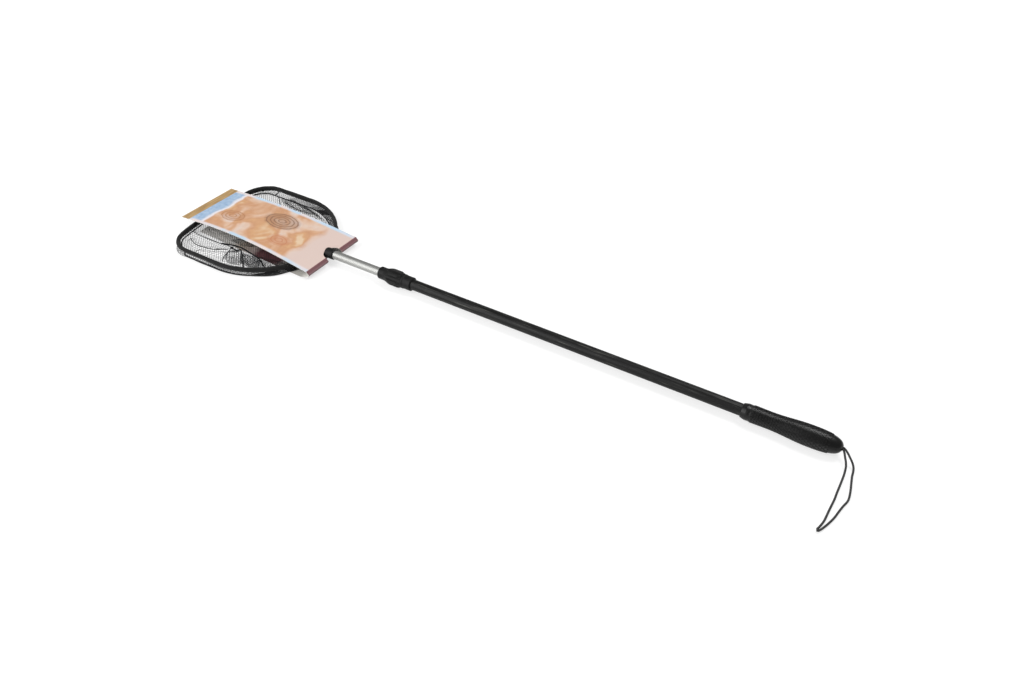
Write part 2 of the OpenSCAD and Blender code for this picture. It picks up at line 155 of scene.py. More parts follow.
def addPiece(name, mesh, body, materials, replaced=()):
    piece = placeObject(name, mesh)
    for material in materials:
        mesh.materials.append(material)
    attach(piece, body)
    if replaced:
        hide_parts(*replaced)
    return piece


def newTree(name, sockets):
    # A geometry tree; the labels of its inputs are given by kind, such as Float or Int
    tree = bpy.data.node_groups.new(name, "GeometryNodeTree")
    tree.interface.new_socket("Geometry", in_out="INPUT", socket_type="NodeSocketGeometry")
    for kind, labels in sockets.items():
        for label in labels:
            tree.interface.new_socket(label, in_out="INPUT", socket_type="NodeSocket" + kind)
    tree.interface.new_socket("Geometry", in_out="OUTPUT", socket_type="NodeSocketGeometry")
    return tree, addNode(tree, "NodeGroupInput").outputs


def endTree(tree, geometry, material):
    plain = addNode(tree, "GeometryNodeRealizeInstances", geometry)
    dressed = addNode(tree, "GeometryNodeSetMaterial", plain, inputs={"Material": material})
    addNode(tree, "NodeGroupOutput", dressed)


def growMesh(name, seed, tree, values):
    # Runs a node tree on a seed mesh and hands back the result as a plain mesh
    holder = placeObject(name, seed)
    modifier = holder.modifiers.new(name, "NODES")
    modifier.node_group = tree
    for item in tree.interface.items_tree:
        if item.in_out == "INPUT" and item.name in values:
            modifier[item.identifier] = values[item.name]
    shown = holder.evaluated_get(bpy.context.evaluated_depsgraph_get())
    mesh = bpy.data.meshes.new_from_object(shown)
    holder.modifiers.remove(modifier)
    bpy.data.objects.remove(holder)
    mesh.name = name
    return mesh


def lineMesh(name, lines):
    # Open lines of points as a mesh of edges, the seed for strands, seams and stitches
    points, edges = [], []
    for line in lines:
        first = len(points)
        points += [tuple(p) for p in line]
        edges += [(first + i, first + i + 1) for i in range(len(line) - 1)]
    mesh = bpy.data.meshes.new(name)
    mesh.from_pydata(points, edges, [])
    return mesh


def runAlong(points):
    # Distance along a line from its first point to each of its points
    steps = np.linalg.norm(np.diff(np.array(points, float), axis=0), axis=1)
    return np.concatenate([[0], np.cumsum(steps)])


def evenPoints(points, count, closed=False):
    # The same line with a set number of points, evenly spaced along it
    p = np.array(points + points[:1] if closed else points, float)
    run = runAlong(p)
    at = np.linspace(0, run[-1], count + 1)[:-1] if closed else np.linspace(0, run[-1], count)
    return np.stack([np.interp(at, run, p[:, k]) for k in range(p.shape[1])], axis=1)


def smoothRoute(points, perSpan):
    # A smooth curve through points, with a set number of steps between each two
    p = [Vector(q) for q in points]
    last = len(p) - 1
    route = []
    for i in range(last):
        a, b, c, d = p[max(i - 1, 0)], p[i], p[i + 1], p[min(i + 2, last)]
        for k in range(perSpan):
            t = k / perSpan
            bend = (2 * a - 5 * b + 4 * c - d) * t * t + (3 * b - a - 3 * c + d) * t ** 3
            route.append((2 * b + (c - a) * t + bend) / 2)
    return route + [p[last]]


def knotLoop(steps, depth):
    # A trefoil of reach 3: two coordinates in its plane, then how deep its turns cross
    turns = [2 * math.pi * i / steps for i in range(steps)]
    return [(math.sin(t) + 2 * math.sin(2 * t), math.cos(t) - 2 * math.cos(2 * t),
             -depth * math.sin(3 * t)) for t in turns]


def ringFaces(rings, sides, closed=False):
    # Faces between rings of points that follow one another
    faces = []
    for i in range(rings if closed else rings - 1):
        a, b = i * sides, (i + 1) % rings * sides
        for k in range(sides):
            n = (k + 1) % sides
            faces.append((a + k, a + n, b + n, b + k))
    return faces


def sweepMesh(name, path, sides, radiusAt, closed=False):
    # Tube along a path; radiusAt(distance along, angle round) gives its radius
    path = [Vector(p) for p in path]
    count = len(path)
    points = []
    along = 0.0
    side = None
    for i, here in enumerate(path):
        ahead = path[(i + 1) % count] if closed else path[min(i + 1, count - 1)]
        behind = path[i - 1] if closed or i else here
        tangent = (ahead - behind).normalized()
        if side is None:
            side = tangent.cross(Vector((0, 0, 1))).normalized()
        side = (side - tangent * side.dot(tangent)).normalized()
        up = side.cross(tangent)
        along += (here - path[i - 1]).length if i else 0.0
        for k in range(sides):
            angle = 2 * math.pi * k / sides
            radius = radiusAt(along, angle)
            points.append(here + radius * (math.cos(angle) * side + math.sin(angle) * up))
    faces = ringFaces(count, sides, closed)
    if not closed:
        last = (count - 1) * sides
        faces += [tuple(range(sides)), tuple(range(last, last + sides))]
    return meshFrom(name, points, faces, smoothAngle=180)


def latheMesh(name, profile, sides, shape=None):
    # Spins a closed profile of (x, radius) points, in metres, about the pole's axis
    points = []
    for x, r in profile:
        for k in range(sides):
            angle = 2 * math.pi * k / sides
            radius = shape(angle, r) if shape else r
            points.append((x, radius * math.cos(angle), poleZ + radius * math.sin(angle)))
    return meshFrom(name, points, ringFaces(len(profile), sides, closed=True), smoothAngle=35)


def ease(a, b, t):
    return a + (b - a) * (1 - math.cos(math.pi * t)) / 2


def easedRun(start, end, steps):
    # Profile points after start and as far as end, with the radius eased between them
    (x0, r0), (x1, r1) = start, end
    return [(x0 + (x1 - x0) * i / steps, ease(r0, r1, i / steps)) for i in range(1, steps + 1)]


# Places that other pieces depend on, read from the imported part

tubeLow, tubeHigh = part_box("outer_tube")
gripLow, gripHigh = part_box("grip")
nutLow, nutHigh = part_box("lock_nut")
wireLow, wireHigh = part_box("hoop_wire")
poleZ = (tubeLow.z + tubeHigh.z) / 2
buttX = gripHigh.x
hoopZ = (wireLow.z + wireHigh.z) / 2


# Camera, placed as the photograph was taken

photoView = {
    "place": (0.6127, -0.8656, 0.8590),  # metres
    "pitchDown": 41.80,  # degrees
    "turn": 30.65,  # degrees, anticlockwise from +Y
    "imageWidth": 1035,  # pixels
    "focalLength": 800,  # in the same pixels
    "sensorWidth": 36.0,  # mm
    "clipStart": 0.01,  # metres
}


def makeCamera():
    lens = bpy.data.cameras.new("camera")
    lens.sensor_fit = "HORIZONTAL"
    lens.sensor_width = photoView["sensorWidth"]
    lens.lens = photoView["focalLength"] / photoView["imageWidth"] * photoView["sensorWidth"]
    lens.clip_start = photoView["clipStart"]
    camera = placeObject("camera", lens)
    camera.location = photoView["place"]
    pitch = math.radians(90 - photoView["pitchDown"])
    camera.rotation_euler = (pitch, 0, math.radians(photoView["turn"]))
    scene.camera = camera


makeCamera()
print("camera ready")


# Wrist cord: a braided loop of two strands, knotted in the grip and at its far end

cordForm = {
    "diameter": 3.1,  # mm
    "braidPitch": 3.4,  # mm along the cord for each crossing
    "braidDepth": 0.16,  # share of the radius
    "braidEnds": 4,  # yarns each way round
    "sides": 16,
    "ringStep": 0.45,  # mm
    "spanSteps": 12,  # steps that smooth the route between two of its points
    "fuzz": (1.2, 1.2, 3.0, 0.5),  # noise pattern of the dusty patches
    "knotDiameter": 5.4,  # mm
    "knotYarn": 0.42,  # the cord's radius in the knot, as a share of the knot's
    "knotDepth": 1.4,  # how deep the knot's turns cross, where its reach is 3
    "knotSteps": 72,
    "knotSides": 12,
}
lie = 1.5  # height of the cord's middle on the floor, mm
axis = poleZ / mm
longRoute = [  # mm from the grip's butt, the pole's middle line and the floor
    (-12, 1.5, axis), (-4, 1.5, axis), (2, 1.2, axis - 0.3), (8, -3.6, 14.2), (13, -7.4, 11),
    (17.9, -11, 7.2), (21.4, -15, 3.6), (23.1, -21, 1.8), (23.8, -30, lie), (25.6, -42, lie),
    (27.6, -54, lie), (29, -66, lie), (29, -76, lie), (25.7, -88, lie), (23.2, -99, lie),
    (20.5, -112, lie), (16.4, -125, lie), (12, -136, lie), (9.1, -142.2, 2),
]
shortRoute = [
    (-12, -1.5, axis), (-4, -1.5, axis), (0.8, -1.9, axis - 0.3), (4, -5.6, 14.2), (6.8, -11, 12),
    (10, -16.6, 9.2), (12.2, -22, 6), (13.2, -27.6, 3.2), (13.6, -34, 1.7), (13.6, -44, lie),
    (13.4, -56, lie), (13.1, -69, lie), (13, -83, lie), (12, -97, lie), (11.2, -110, lie),
    (10.4, -123, lie), (8.2, -134, lie), (5.9, -141.6, 2),
]
tipKnot = (7.3, -143.6, 2.7)


def makeCord():
    form = cordForm
    # Braided polyester: soft black yarn, a little dusty on the outside of each crossing
    cloth = grainedSurface("braidedCord", form["fuzz"], [(0.35, "#242424"), (0.7, "#3e3e3e")], 0.75, {
        "Specular IOR Level": 0.3, "Sheen Weight": 0.15})
    radius = form["diameter"] / 2 * mm
    pitch = form["braidPitch"] * mm
    ends = form["braidEnds"] / 2

    def braidRadius(along, angle):
        left = abs(math.sin(ends * angle + math.pi * along / pitch))
        right = abs(math.sin(ends * angle - math.pi * along / pitch))
        return radius * (1 - form["braidDepth"] * (1 - max(left, right)))

    knotRadius = form["knotDiameter"] / 2 * mm
    yarn = form["knotYarn"] * knotRadius
    size = (knotRadius - yarn) / 3
    centre = Vector((buttX + tipKnot[0] * mm, tipKnot[1] * mm, tipKnot[2] * mm))
    knotLine = [centre + size * Vector((a, c, b))
                for a, b, c in knotLoop(form["knotSteps"], form["knotDepth"])]
    knotMesh = sweepMesh("cordTipKnot", knotLine, form["knotSides"], lambda along, angle: yarn, closed=True)
    knot = addPiece("cordTipKnot", knotMesh, "handle", [cloth], ["cord_bead"])
    for name, points, node in (("cordLong", longRoute, "cord_strand_long"),
                               ("cordShort", shortRoute, "cord_strand_short")):
        route = smoothRoute([(buttX + x * mm, y * mm, z * mm) for x, y, z in points], form["spanSteps"])
        length = sum((b - a).length for a, b in zip(route, route[1:]))
        rings = evenPoints([tuple(p) for p in route], int(length / (form["ringStep"] * mm)))
        mesh = sweepMesh(name, rings, form["sides"], braidRadius)
        strand = addPiece(name, mesh, "handle", [cloth], [node])
        print("cord", name, "length in mm", round(length / mm, 1))


makeCord()


# Hoop outline: shoulders, straight sides, corners and the nearly straight far end

hoopForm = {  # mm
    "length": 282,  # from the neck bends to the far end, at the wire's middle
    "farRadius": 500,
    "cornerRadius": 48,
    "shoulderRadius": 139,
    "bendRadius": 9,
    "tailHalf": 4,  # half the distance between the wire's two tails
    "bareNeck": 18,  # half width of the neck that is left bare of cloth
    "wireRadius": 2.5,
    "pointStep": 2,  # between the outline's points
}


def hoopLine(grow):
    # The outline moved out by grow, in mm, from one side of the bare neck round to the other
    form = hoopForm
    half = wireHigh.y / mm - (wireHigh.z - wireLow.z) / 2 / mm
    farX = wireLow.x / mm + form["wireRadius"]
    bendX = farX + form["length"]
    shoulderY = half - form["shoulderRadius"]
    bendY = form["tailHalf"] + form["bendRadius"]
    reach = form["shoulderRadius"] + form["bendRadius"]
    shoulderX = bendX - math.sqrt(reach ** 2 - (bendY - shoulderY) ** 2)
    farMiddle = farX + form["farRadius"]
    cornerY = half - form["cornerRadius"]
    cornerX = farMiddle - math.sqrt((form["farRadius"] - form["cornerRadius"]) ** 2 - cornerY ** 2)
    farAngle = math.atan2(cornerY, farMiddle - cornerX)
    bareAngle = math.asin((form["bareNeck"] - shoulderY) / form["shoulderRadius"])
    line = []
    for x, y, radius, first, last in (
            (shoulderX, shoulderY, form["shoulderRadius"], bareAngle, math.pi / 2),
            (cornerX, cornerY, form["cornerRadius"], math.pi / 2, math.pi - farAngle),
            (farMiddle, 0.0, form["farRadius"], math.pi - farAngle, math.pi)):
        pieces = int(radius * (last - first) / form["pointStep"])
        for i in range(pieces + 1):
            angle = first + (last - first) * i / pieces
            line.append((x + (radius + grow) * math.cos(angle), y + (radius + grow) * math.sin(angle)))
    return line + [(x, -y) for x, y in reversed(line[:-1])]


# Pole and lock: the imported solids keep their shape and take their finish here

poleFinish = {  # noise patterns
    "rubs": (65, 2.4, 5.0, 0.62),  # rub marks along the pole
    "drawLines": (120, 0.9, 4.0, 0.7),  # on the bare tube, drawn coarser than real so that they show
    "mouldWear": (9, 9, 4.0, 0.5),
    "mouldGrain": (0.7, 0.7, 2.0, 0.5),  # drawn coarser than real so that it shows
}


def mouldedPlastic(name, dark, light, rough, gloss):
    # Moulded plastic with a spark-eroded grain, which breaks up its soft highlight
    return grainedSurface(
        name, poleFinish["mouldWear"], [(0.35, dark), (0.7, light)], (rough - 0.06, rough + 0.08),
        {"Specular IOR Level": gloss}, (0.25, 0.12), poleFinish["mouldGrain"])


blackPlastic = mouldedPlastic("mouldedPolypropylene", "#0d0d0d", "#171717", 0.5, 0.2)
paleNylon = mouldedPlastic("mouldedNylon", "#c4c2ba", "#d6d4cc", 0.5, 0.45)
wireCoat = mouldedPlastic("dippedSteelWire", "#121213", "#1e1e1f", 0.44, 0.25)
# Powder coat on a drawn tube: satin black, with long grey rub marks from sliding and handling
satinBlackCoat = grainedSurface(
    "satinBlackCoat", poleFinish["rubs"],
    [(0.46, "#060606"), (0.56, "#121212"), (0.63, "#3a3a37"), (0.72, "#5c5c57")], (0.38, 0.54),
    {"Specular IOR Level": 0.24}, (0.12, 0.1))
# Drawn aluminium tube: bright, with fine lengthwise lines that stretch its highlight
drawnAluminium = grainedSurface(
    "drawnAluminium", poleFinish["drawLines"], [(0.3, "#8f908e"), (0.7, "#bdbdba")], (0.42, 0.58),
    {"Metallic": 1.0}, (0.15, 0.1))
for node, finish in (("outer_tube", satinBlackCoat), ("inner_tube", drawnAluminium),
                     ("lock_body", blackPlastic), ("end_plug", blackPlastic),
                     ("hoop_socket", blackPlastic), ("collet", paleNylon),
                     ("slide_bush", paleNylon), ("hoop_wire", wireCoat),
                     ("cord_knot", bpy.data.materials["braidedCord"])):
    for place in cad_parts[node].material_slots:
        place.material = finish
print("pole dressed")


# Twist nut: round nose, then lobes with softened flutes between them

nutForm = {  # mm
    "noseLength": 11,
    "noseRadius": 11.2,
    "noseRound": 2.2,
    "lobeStart": 27.4,
    "lobeEnd": 42,
    "lobeRadius": 15,
    "tailRadius": 12.85,
    "fluteFloor": 11.8,
    "fluteRadius": 5.1,
    "lobes": 6,
    "edgeSoftness": 0.4,
    "nutBore": 10.55,
    "noseBore": 8.35,
    "boreStep": 18,
    "roundSteps": 6,
    "noseSteps": 4,
    "lobeSteps": 5,
    "slopeSteps": 10,
    "sides": 168,
}


def makeNut():
    form = nutForm
    front = nutLow.x / mm
    length = (nutHigh.x - nutLow.x) / mm
    outer = []
    for i in range(form["roundSteps"] + 1):
        angle = math.pi - math.pi / 2 * i / form["roundSteps"]
        outer.append((form["noseRound"] * (1 + math.cos(angle)),
                      form["noseRadius"] - form["noseRound"] * (1 - math.sin(angle))))
    noseEnd = (form["noseLength"], form["noseRadius"])
    lobeStart = (form["lobeStart"], form["lobeRadius"])
    lobeEnd = (form["lobeEnd"], form["lobeRadius"])
    outer += easedRun((form["noseRound"], form["noseRadius"]), noseEnd, form["noseSteps"])
    outer += easedRun(noseEnd, lobeStart, form["slopeSteps"])
    outer += easedRun(lobeStart, lobeEnd, form["lobeSteps"])
    outer += easedRun(lobeEnd, (length, form["tailRadius"]), form["slopeSteps"])
    inner = [(length, form["nutBore"]), (form["boreStep"], form["nutBore"]),
             (form["boreStep"], form["noseBore"]), (0, form["noseBore"])]
    centre = form["fluteFloor"] + form["fluteRadius"]

    def flutedRadius(angle, radius):
        spread = 2 * math.pi / form["lobes"]
        turn = (angle - math.pi / 2 + spread / 2) % spread - spread / 2
        room = form["fluteRadius"] ** 2 - (centre * math.sin(turn)) ** 2
        if radius / mm <= form["nutBore"] or room <= 0:
            return radius
        flute = centre * math.cos(turn) - math.sqrt(room)
        soft = form["edgeSoftness"]
        gap = max(soft - abs(radius / mm - flute), 0) / soft
        return (min(radius / mm, flute) - gap * gap * soft / 4) * mm

    profile = [((front + x) * mm, r * mm) for x, r in outer + inner]
    mesh = latheMesh("twistNut", profile, form["sides"], flutedRadius)
    addPiece("twistNut", mesh, "twist_nut", [blackPlastic], ["lock_nut"])
    print("twist nut made")


makeNut()


# Grip: waisted rubber moulding with rows of small diamonds

gripForm = {  # mm from the grip's front
    "mouthRadius": 11.1,
    "mouthBevel": 0.7,
    "mouthEdge": 0.5,
    "shoulderAt": 4.8,  # where the front collar starts to round over
    "shoulderRise": 0.5,
    "frontAt": 7,
    "frontRadius": 12.7,
    "collarAt": 12.5,  # middle of the groove behind the front collar
    "collarGroove": 0.15,  # depth of that groove
    "grooveHalf": 1.2,
    "grooveFloor": 0.5,  # half the width of its floor
    "waistAt": 42,
    "waistRadius": 12.4,
    "bellyAt": 99,
    "butt": 0.7,  # power that makes the butt blunter than an ellipse
    "lipRadius": 5.25,
    "lipEdge": 0.8,
    "cordHole": 3.5,
    "tubeBore": 9.55,
    "knotBore": 5.1,
    "boreEnd": 123,
    "knotEnd": 133,
    "skin": 0.25,  # how far the plain skin lies below the tops of the diamonds
    "roundSteps": 4,
    "steps": 16,
    "sides": 96,
    "bloom": (14, 14, 5.0, 0.6),  # noise pattern of the bloom on the rubber
    "grain": (0.8, 0.8, 2.0, 0.5),  # drawn coarser than real so that it shows
}
diamondForm = {  # mm
    "rowStep": 3.9,
    "firstRow": 17,
    "rows": 29,
    "columns": 18,
    "length": 5.4,
    "width": 3.7,
    "height": 0.7,
    "topShare": 0.6,
    "rayLength": 40,  # how far outside the axis the rays start that seat the diamonds on the grip
}


def diamondTree(material):
    # Rows of flat-topped diamonds set on a round body, every other row turned by half a step
    tree, given = newTree("diamondRows", {
        "Float": ("First", "Step", "Length", "Width", "Height", "Top", "Axis", "Reach"),
        "Int": ("Rows", "Columns")})
    count = addNode(tree, "ShaderNodeMath", given["Rows"], given["Columns"], operation="MULTIPLY")
    spots = addNode(tree, "GeometryNodePoints", count)
    index = addNode(tree, "GeometryNodeInputIndex")
    share = addNode(tree, "ShaderNodeMath", index, given["Columns"], operation="DIVIDE")
    row = addNode(tree, "ShaderNodeMath", share, operation="FLOOR")
    part = addNode(tree, "ShaderNodeMath", share, row, operation="SUBTRACT")
    odd = addNode(tree, "ShaderNodeMath", row, 2.0, operation="MODULO")
    half = addNode(tree, "ShaderNodeMath", odd, given["Columns"], operation="DIVIDE")
    shift = addNode(tree, "ShaderNodeMath", half, 0.5, part, operation="MULTIPLY_ADD")
    turn = addNode(tree, "ShaderNodeMath", shift, 2 * math.pi, operation="MULTIPLY")
    across = addNode(tree, "ShaderNodeMath", turn, operation="COSINE")
    upward = addNode(tree, "ShaderNodeMath", turn, operation="SINE")
    out = addNode(tree, "ShaderNodeCombineXYZ", 0.0, across, upward)
    along = addNode(tree, "ShaderNodeMath", row, given["Step"], given["First"], operation="MULTIPLY_ADD")
    middle = addNode(tree, "ShaderNodeCombineXYZ", along, 0.0, given["Axis"])
    far = addNode(tree, "ShaderNodeVectorMath", out, inputs={"Scale": given["Reach"]}, operation="SCALE")
    source = addNode(tree, "ShaderNodeVectorMath", middle, far, operation="ADD")
    inward = addNode(tree, "ShaderNodeVectorMath", out, inputs={"Scale": -1.0}, operation="SCALE")
    hit = addNode(tree, "GeometryNodeRaycast", given["Geometry"], inputs={
        "Source Position": source, "Ray Direction": inward, "Ray Length": given["Reach"]})
    seated = addNode(tree, "GeometryNodeSetPosition", spots, inputs={
        "Position": hit.outputs["Hit Position"]})
    stand = addNode(tree, "FunctionNodeAlignRotationToVector", axis="Z", inputs={
        "Vector": hit.outputs["Hit Normal"]})
    lengthwise = addNode(tree, "FunctionNodeAlignRotationToVector", stand, axis="X", pivot_axis="Z",
                         inputs={"Vector": (1, 0, 0)})
    diamond = addNode(tree, "GeometryNodeMeshCone", inputs={
        "Vertices": 4, "Radius Top": given["Top"], "Radius Bottom": 1.0, "Depth": 1.0})
    size = addNode(tree, "ShaderNodeCombineXYZ", given["Length"], given["Width"], given["Height"])
    copies = addNode(tree, "GeometryNodeInstanceOnPoints", seated, inputs={
        "Instance": diamond, "Rotation": lengthwise, "Scale": size})
    flat = addNode(tree, "GeometryNodeSetShadeSmooth", copies, inputs={"Shade Smooth": False})
    whole = addNode(tree, "GeometryNodeJoinGeometry", given["Geometry"])
    setInputs(tree, whole, {0: flat})
    endTree(tree, whole, material)
    return tree


def makeGrip():
    form = gripForm
    front = gripLow.x / mm
    length = (gripHigh.x - gripLow.x) / mm
    belly = (gripHigh.y - gripLow.y) / 2 / mm - form["skin"]
    steps = form["steps"]
    mouth = form["mouthRadius"]
    shoulder = (form["shoulderAt"], form["frontRadius"] - form["shoulderRise"])
    waist = (form["waistAt"], form["waistRadius"])
    wide, narrow = form["grooveHalf"], form["grooveFloor"]
    outer = [(0, mouth - form["mouthBevel"]), (form["mouthEdge"], mouth), shoulder]
    outer += easedRun(shoulder, (form["frontAt"], form["frontRadius"]), form["roundSteps"])
    for x, depth in ((-wide, 0), (-narrow, 1), (narrow, 1), (wide, 0)):
        outer.append((form["collarAt"] + x, form["frontRadius"] - form["collarGroove"] * depth))
    outer += easedRun((form["collarAt"] + wide, form["frontRadius"]), waist, steps)
    outer += easedRun(waist, (form["bellyAt"], belly), steps)
    power = form["butt"]
    lipAngle = math.asin((form["lipRadius"] / belly) ** (1 / power))
    reach = (length - form["lipEdge"] - form["bellyAt"]) / math.cos(lipAngle) ** power
    for i in range(1, steps + 1):
        angle = math.pi / 2 - (math.pi / 2 - lipAngle) * i / steps
        outer.append((form["bellyAt"] + reach * math.cos(angle) ** power, belly * math.sin(angle) ** power))
    outer.append((length, form["lipRadius"] - form["lipEdge"]))
    inner = [(length, form["cordHole"]), (form["knotEnd"], form["cordHole"]),
             (form["knotEnd"], form["knotBore"]), (form["boreEnd"], form["knotBore"]),
             (form["boreEnd"], form["tubeBore"]), (0, form["tubeBore"])]
    profile = [((front + x) * mm, r * mm) for x, r in outer + inner]
    body = latheMesh("grip", profile, form["sides"])
    # Soft moulded rubber: dull black with a greyish bloom on its raised faces
    rubber = grainedSurface(
        "thermoplasticRubber", form["bloom"], [(0.35, "#050505"), (0.7, "#0d0d0d")], 0.36,
        {"Specular IOR Level": 0.3}, (0.3, 0.15), form["grain"])
    marks = diamondForm
    mesh = growMesh("grip", body, diamondTree(rubber), {
        "First": (front + marks["firstRow"]) * mm, "Step": marks["rowStep"] * mm, "Rows": marks["rows"],
        "Columns": marks["columns"], "Length": marks["length"] / 2 * mm, "Width": marks["width"] / 2 * mm,
        "Height": marks["height"] * mm, "Top": marks["topShare"], "Axis": poleZ,
        "Reach": marks["rayLength"] * mm})
    addPiece("rubberGrip", mesh, "handle", [], ["grip"])
    print("grip made,", len(mesh.polygons), "faces")


makeGrip()


# Rim: a cloth sleeve puckered round the wire, with a sewn hem under it

rimForm = {  # mm
    "radius": 3.8,
    "pucker": 0.35,  # how far the cloth puckers in and out
    "puckerLength": 9,  # along the rim
    "puckerRound": 0.9,  # how fast the puckers change round the rim
    "fineShare": 0.5,  # share of finer puckers
    "finePitch": 2.3,  # how many times finer they are
    "fineShift": (7, 3, 1),  # keeps them apart from the coarse ones
    "ringStep": 2.2,
    "length": 850,  # about the length of the cloth round the hoop
    "sides": 18,
    "hemDrop": 4.6,  # from the wire's middle down to the hem's middle
    "hemHalfHeight": 1.8,
    "hemHalfWidth": 0.75,
    "hemWave": 0.16,  # share that the hem's thickness varies by
    "hemWaveLength": 7,
    "hemSeed": 5.0,
    "hemSides": 10,
    "stitchPitch": 4.2,
    "stitchLength": 2.6,
    "stitchRadius": 0.28,
    "threadSpacing": 1.1,  # drawn coarser than real so that the weave shows
    "foldShade": (11, 11, 4.0, 0.5),  # noise pattern of the paler folds
    "threadTwist": (2, 2, 2.0, 0.5),
}


def wovenSleeve():
    # Plain woven polyester tape: matt black, with a fine weave and a faint sheen on its folds
    material = grainedSurface(
        "wovenPolyester", rimForm["foldShade"], [(0.35, "#080808"), (0.72, "#161616")], 0.8,
        {"Specular IOR Level": 0.25, "Sheen Weight": 0.12})
    tree = material.node_tree
    place = addNode(tree, "ShaderNodeTexCoord")
    threads = []
    for turn in (45, -45):
        lay = addNode(tree, "ShaderNodeMapping", place.outputs["Object"], inputs={
            "Rotation": (0, 0, math.radians(turn))})
        wave = addNode(tree, "ShaderNodeTexWave", lay, inputs={  # at scale 1 a wave is 0.31 units long
            "Scale": 0.31 / (rimForm["threadSpacing"] * mm), "Distortion": 1.2, "Detail": 1.0,
            "Detail Scale": 2.0})
        threads.append(wave.outputs["Fac"])
    weave = addNode(tree, "ShaderNodeMath", *threads, operation="MAXIMUM")
    relief = addNode(tree, "ShaderNodeBump", inputs={
        "Height": weave, "Strength": 0.5, "Distance": 0.2 * mm})
    setInputs(tree, tree.nodes["Principled BSDF"], {"Normal": relief})
    return material


def stitchTree(material):
    # Short round stitches laid along a line, one every pitch
    tree, given = newTree("stitches", {"Float": ("Pitch", "Length", "Radius")})
    line = addNode(tree, "GeometryNodeMeshToCurve", given["Geometry"])
    spots = addNode(tree, "GeometryNodeCurveToPoints", line, mode="LENGTH", inputs={
        "Length": given["Pitch"]})
    lay = addNode(tree, "FunctionNodeAlignRotationToVector", axis="Z", inputs={
        "Vector": spots.outputs["Tangent"]})
    bead = addNode(tree, "GeometryNodeMeshUVSphere", 6, 4, 1.0)
    half = addNode(tree, "ShaderNodeMath", given["Length"], 0.5, operation="MULTIPLY")
    size = addNode(tree, "ShaderNodeCombineXYZ", given["Radius"], given["Radius"], half)
    copies = addNode(tree, "GeometryNodeInstanceOnPoints", spots, inputs={
        "Instance": bead, "Rotation": lay, "Scale": size})
    endTree(tree, addNode(tree, "GeometryNodeSetShadeSmooth", copies), material)
    return tree


def makeRim():
    form = rimForm
    cloth = wovenSleeve()
    count = int(form["length"] / form["ringStep"])
    path = [(x * mm, y * mm, hoopZ) for x, y in evenPoints(hoopLine(0), count)]

    def puckered(along, angle):
        spot = Vector((along / (form["puckerLength"] * mm), math.cos(angle) * form["puckerRound"],
                       math.sin(angle) * form["puckerRound"]))
        fine = noise.noise(spot * form["finePitch"] + Vector(form["fineShift"]))
        return (form["radius"] + form["pucker"] * (noise.noise(spot) + form["fineShare"] * fine)) * mm

    mesh = sweepMesh("rimSleeve", path, form["sides"], puckered)
    addPiece("rimSleeve", mesh, "head", [cloth], ["rim_sleeve"])
    high, wide = form["hemHalfHeight"] * mm, form["hemHalfWidth"] * mm

    def flat(along, angle):
        spot = Vector((along / (form["hemWaveLength"] * mm), form["hemSeed"], angle))
        wave = 1 + form["hemWave"] * noise.noise(spot)
        return wave * high * wide / math.hypot(high * math.cos(angle), wide * math.sin(angle))

    hemZ = hoopZ - form["hemDrop"] * mm
    hemLine = [(x, y, hemZ) for x, y, z in path]
    addPiece("rimHem", sweepMesh("rimHem", hemLine, form["hemSides"], flat), "head", [cloth])
    rows = []
    for grow in (-form["hemHalfWidth"], form["hemHalfWidth"]):
        rows.append([(x * mm, y * mm, hemZ) for x, y in evenPoints(hoopLine(grow), count)])
    # Bonded nylon thread: a little glossier and greyer than the cloth it sews
    thread = grainedSurface(
        "bondedNylonThread", form["threadTwist"], [(0.3, "#202020"), (0.7, "#3a3a3a")], 0.5, {})
    stitches = growMesh("rimStitches", lineMesh("rimStitches", rows), stitchTree(thread), {
        "Pitch": form["stitchPitch"] * mm, "Length": form["stitchLength"] * mm,
        "Radius": form["stitchRadius"] * mm})
    addPiece("rimStitches", stitches, "head", [])
    print("rim sewn,", len(stitches.polygons), "stitch faces")


makeRim()


# Net bag: a slack floor panel and wall strip, dropped as cloth, then knitted as real strands

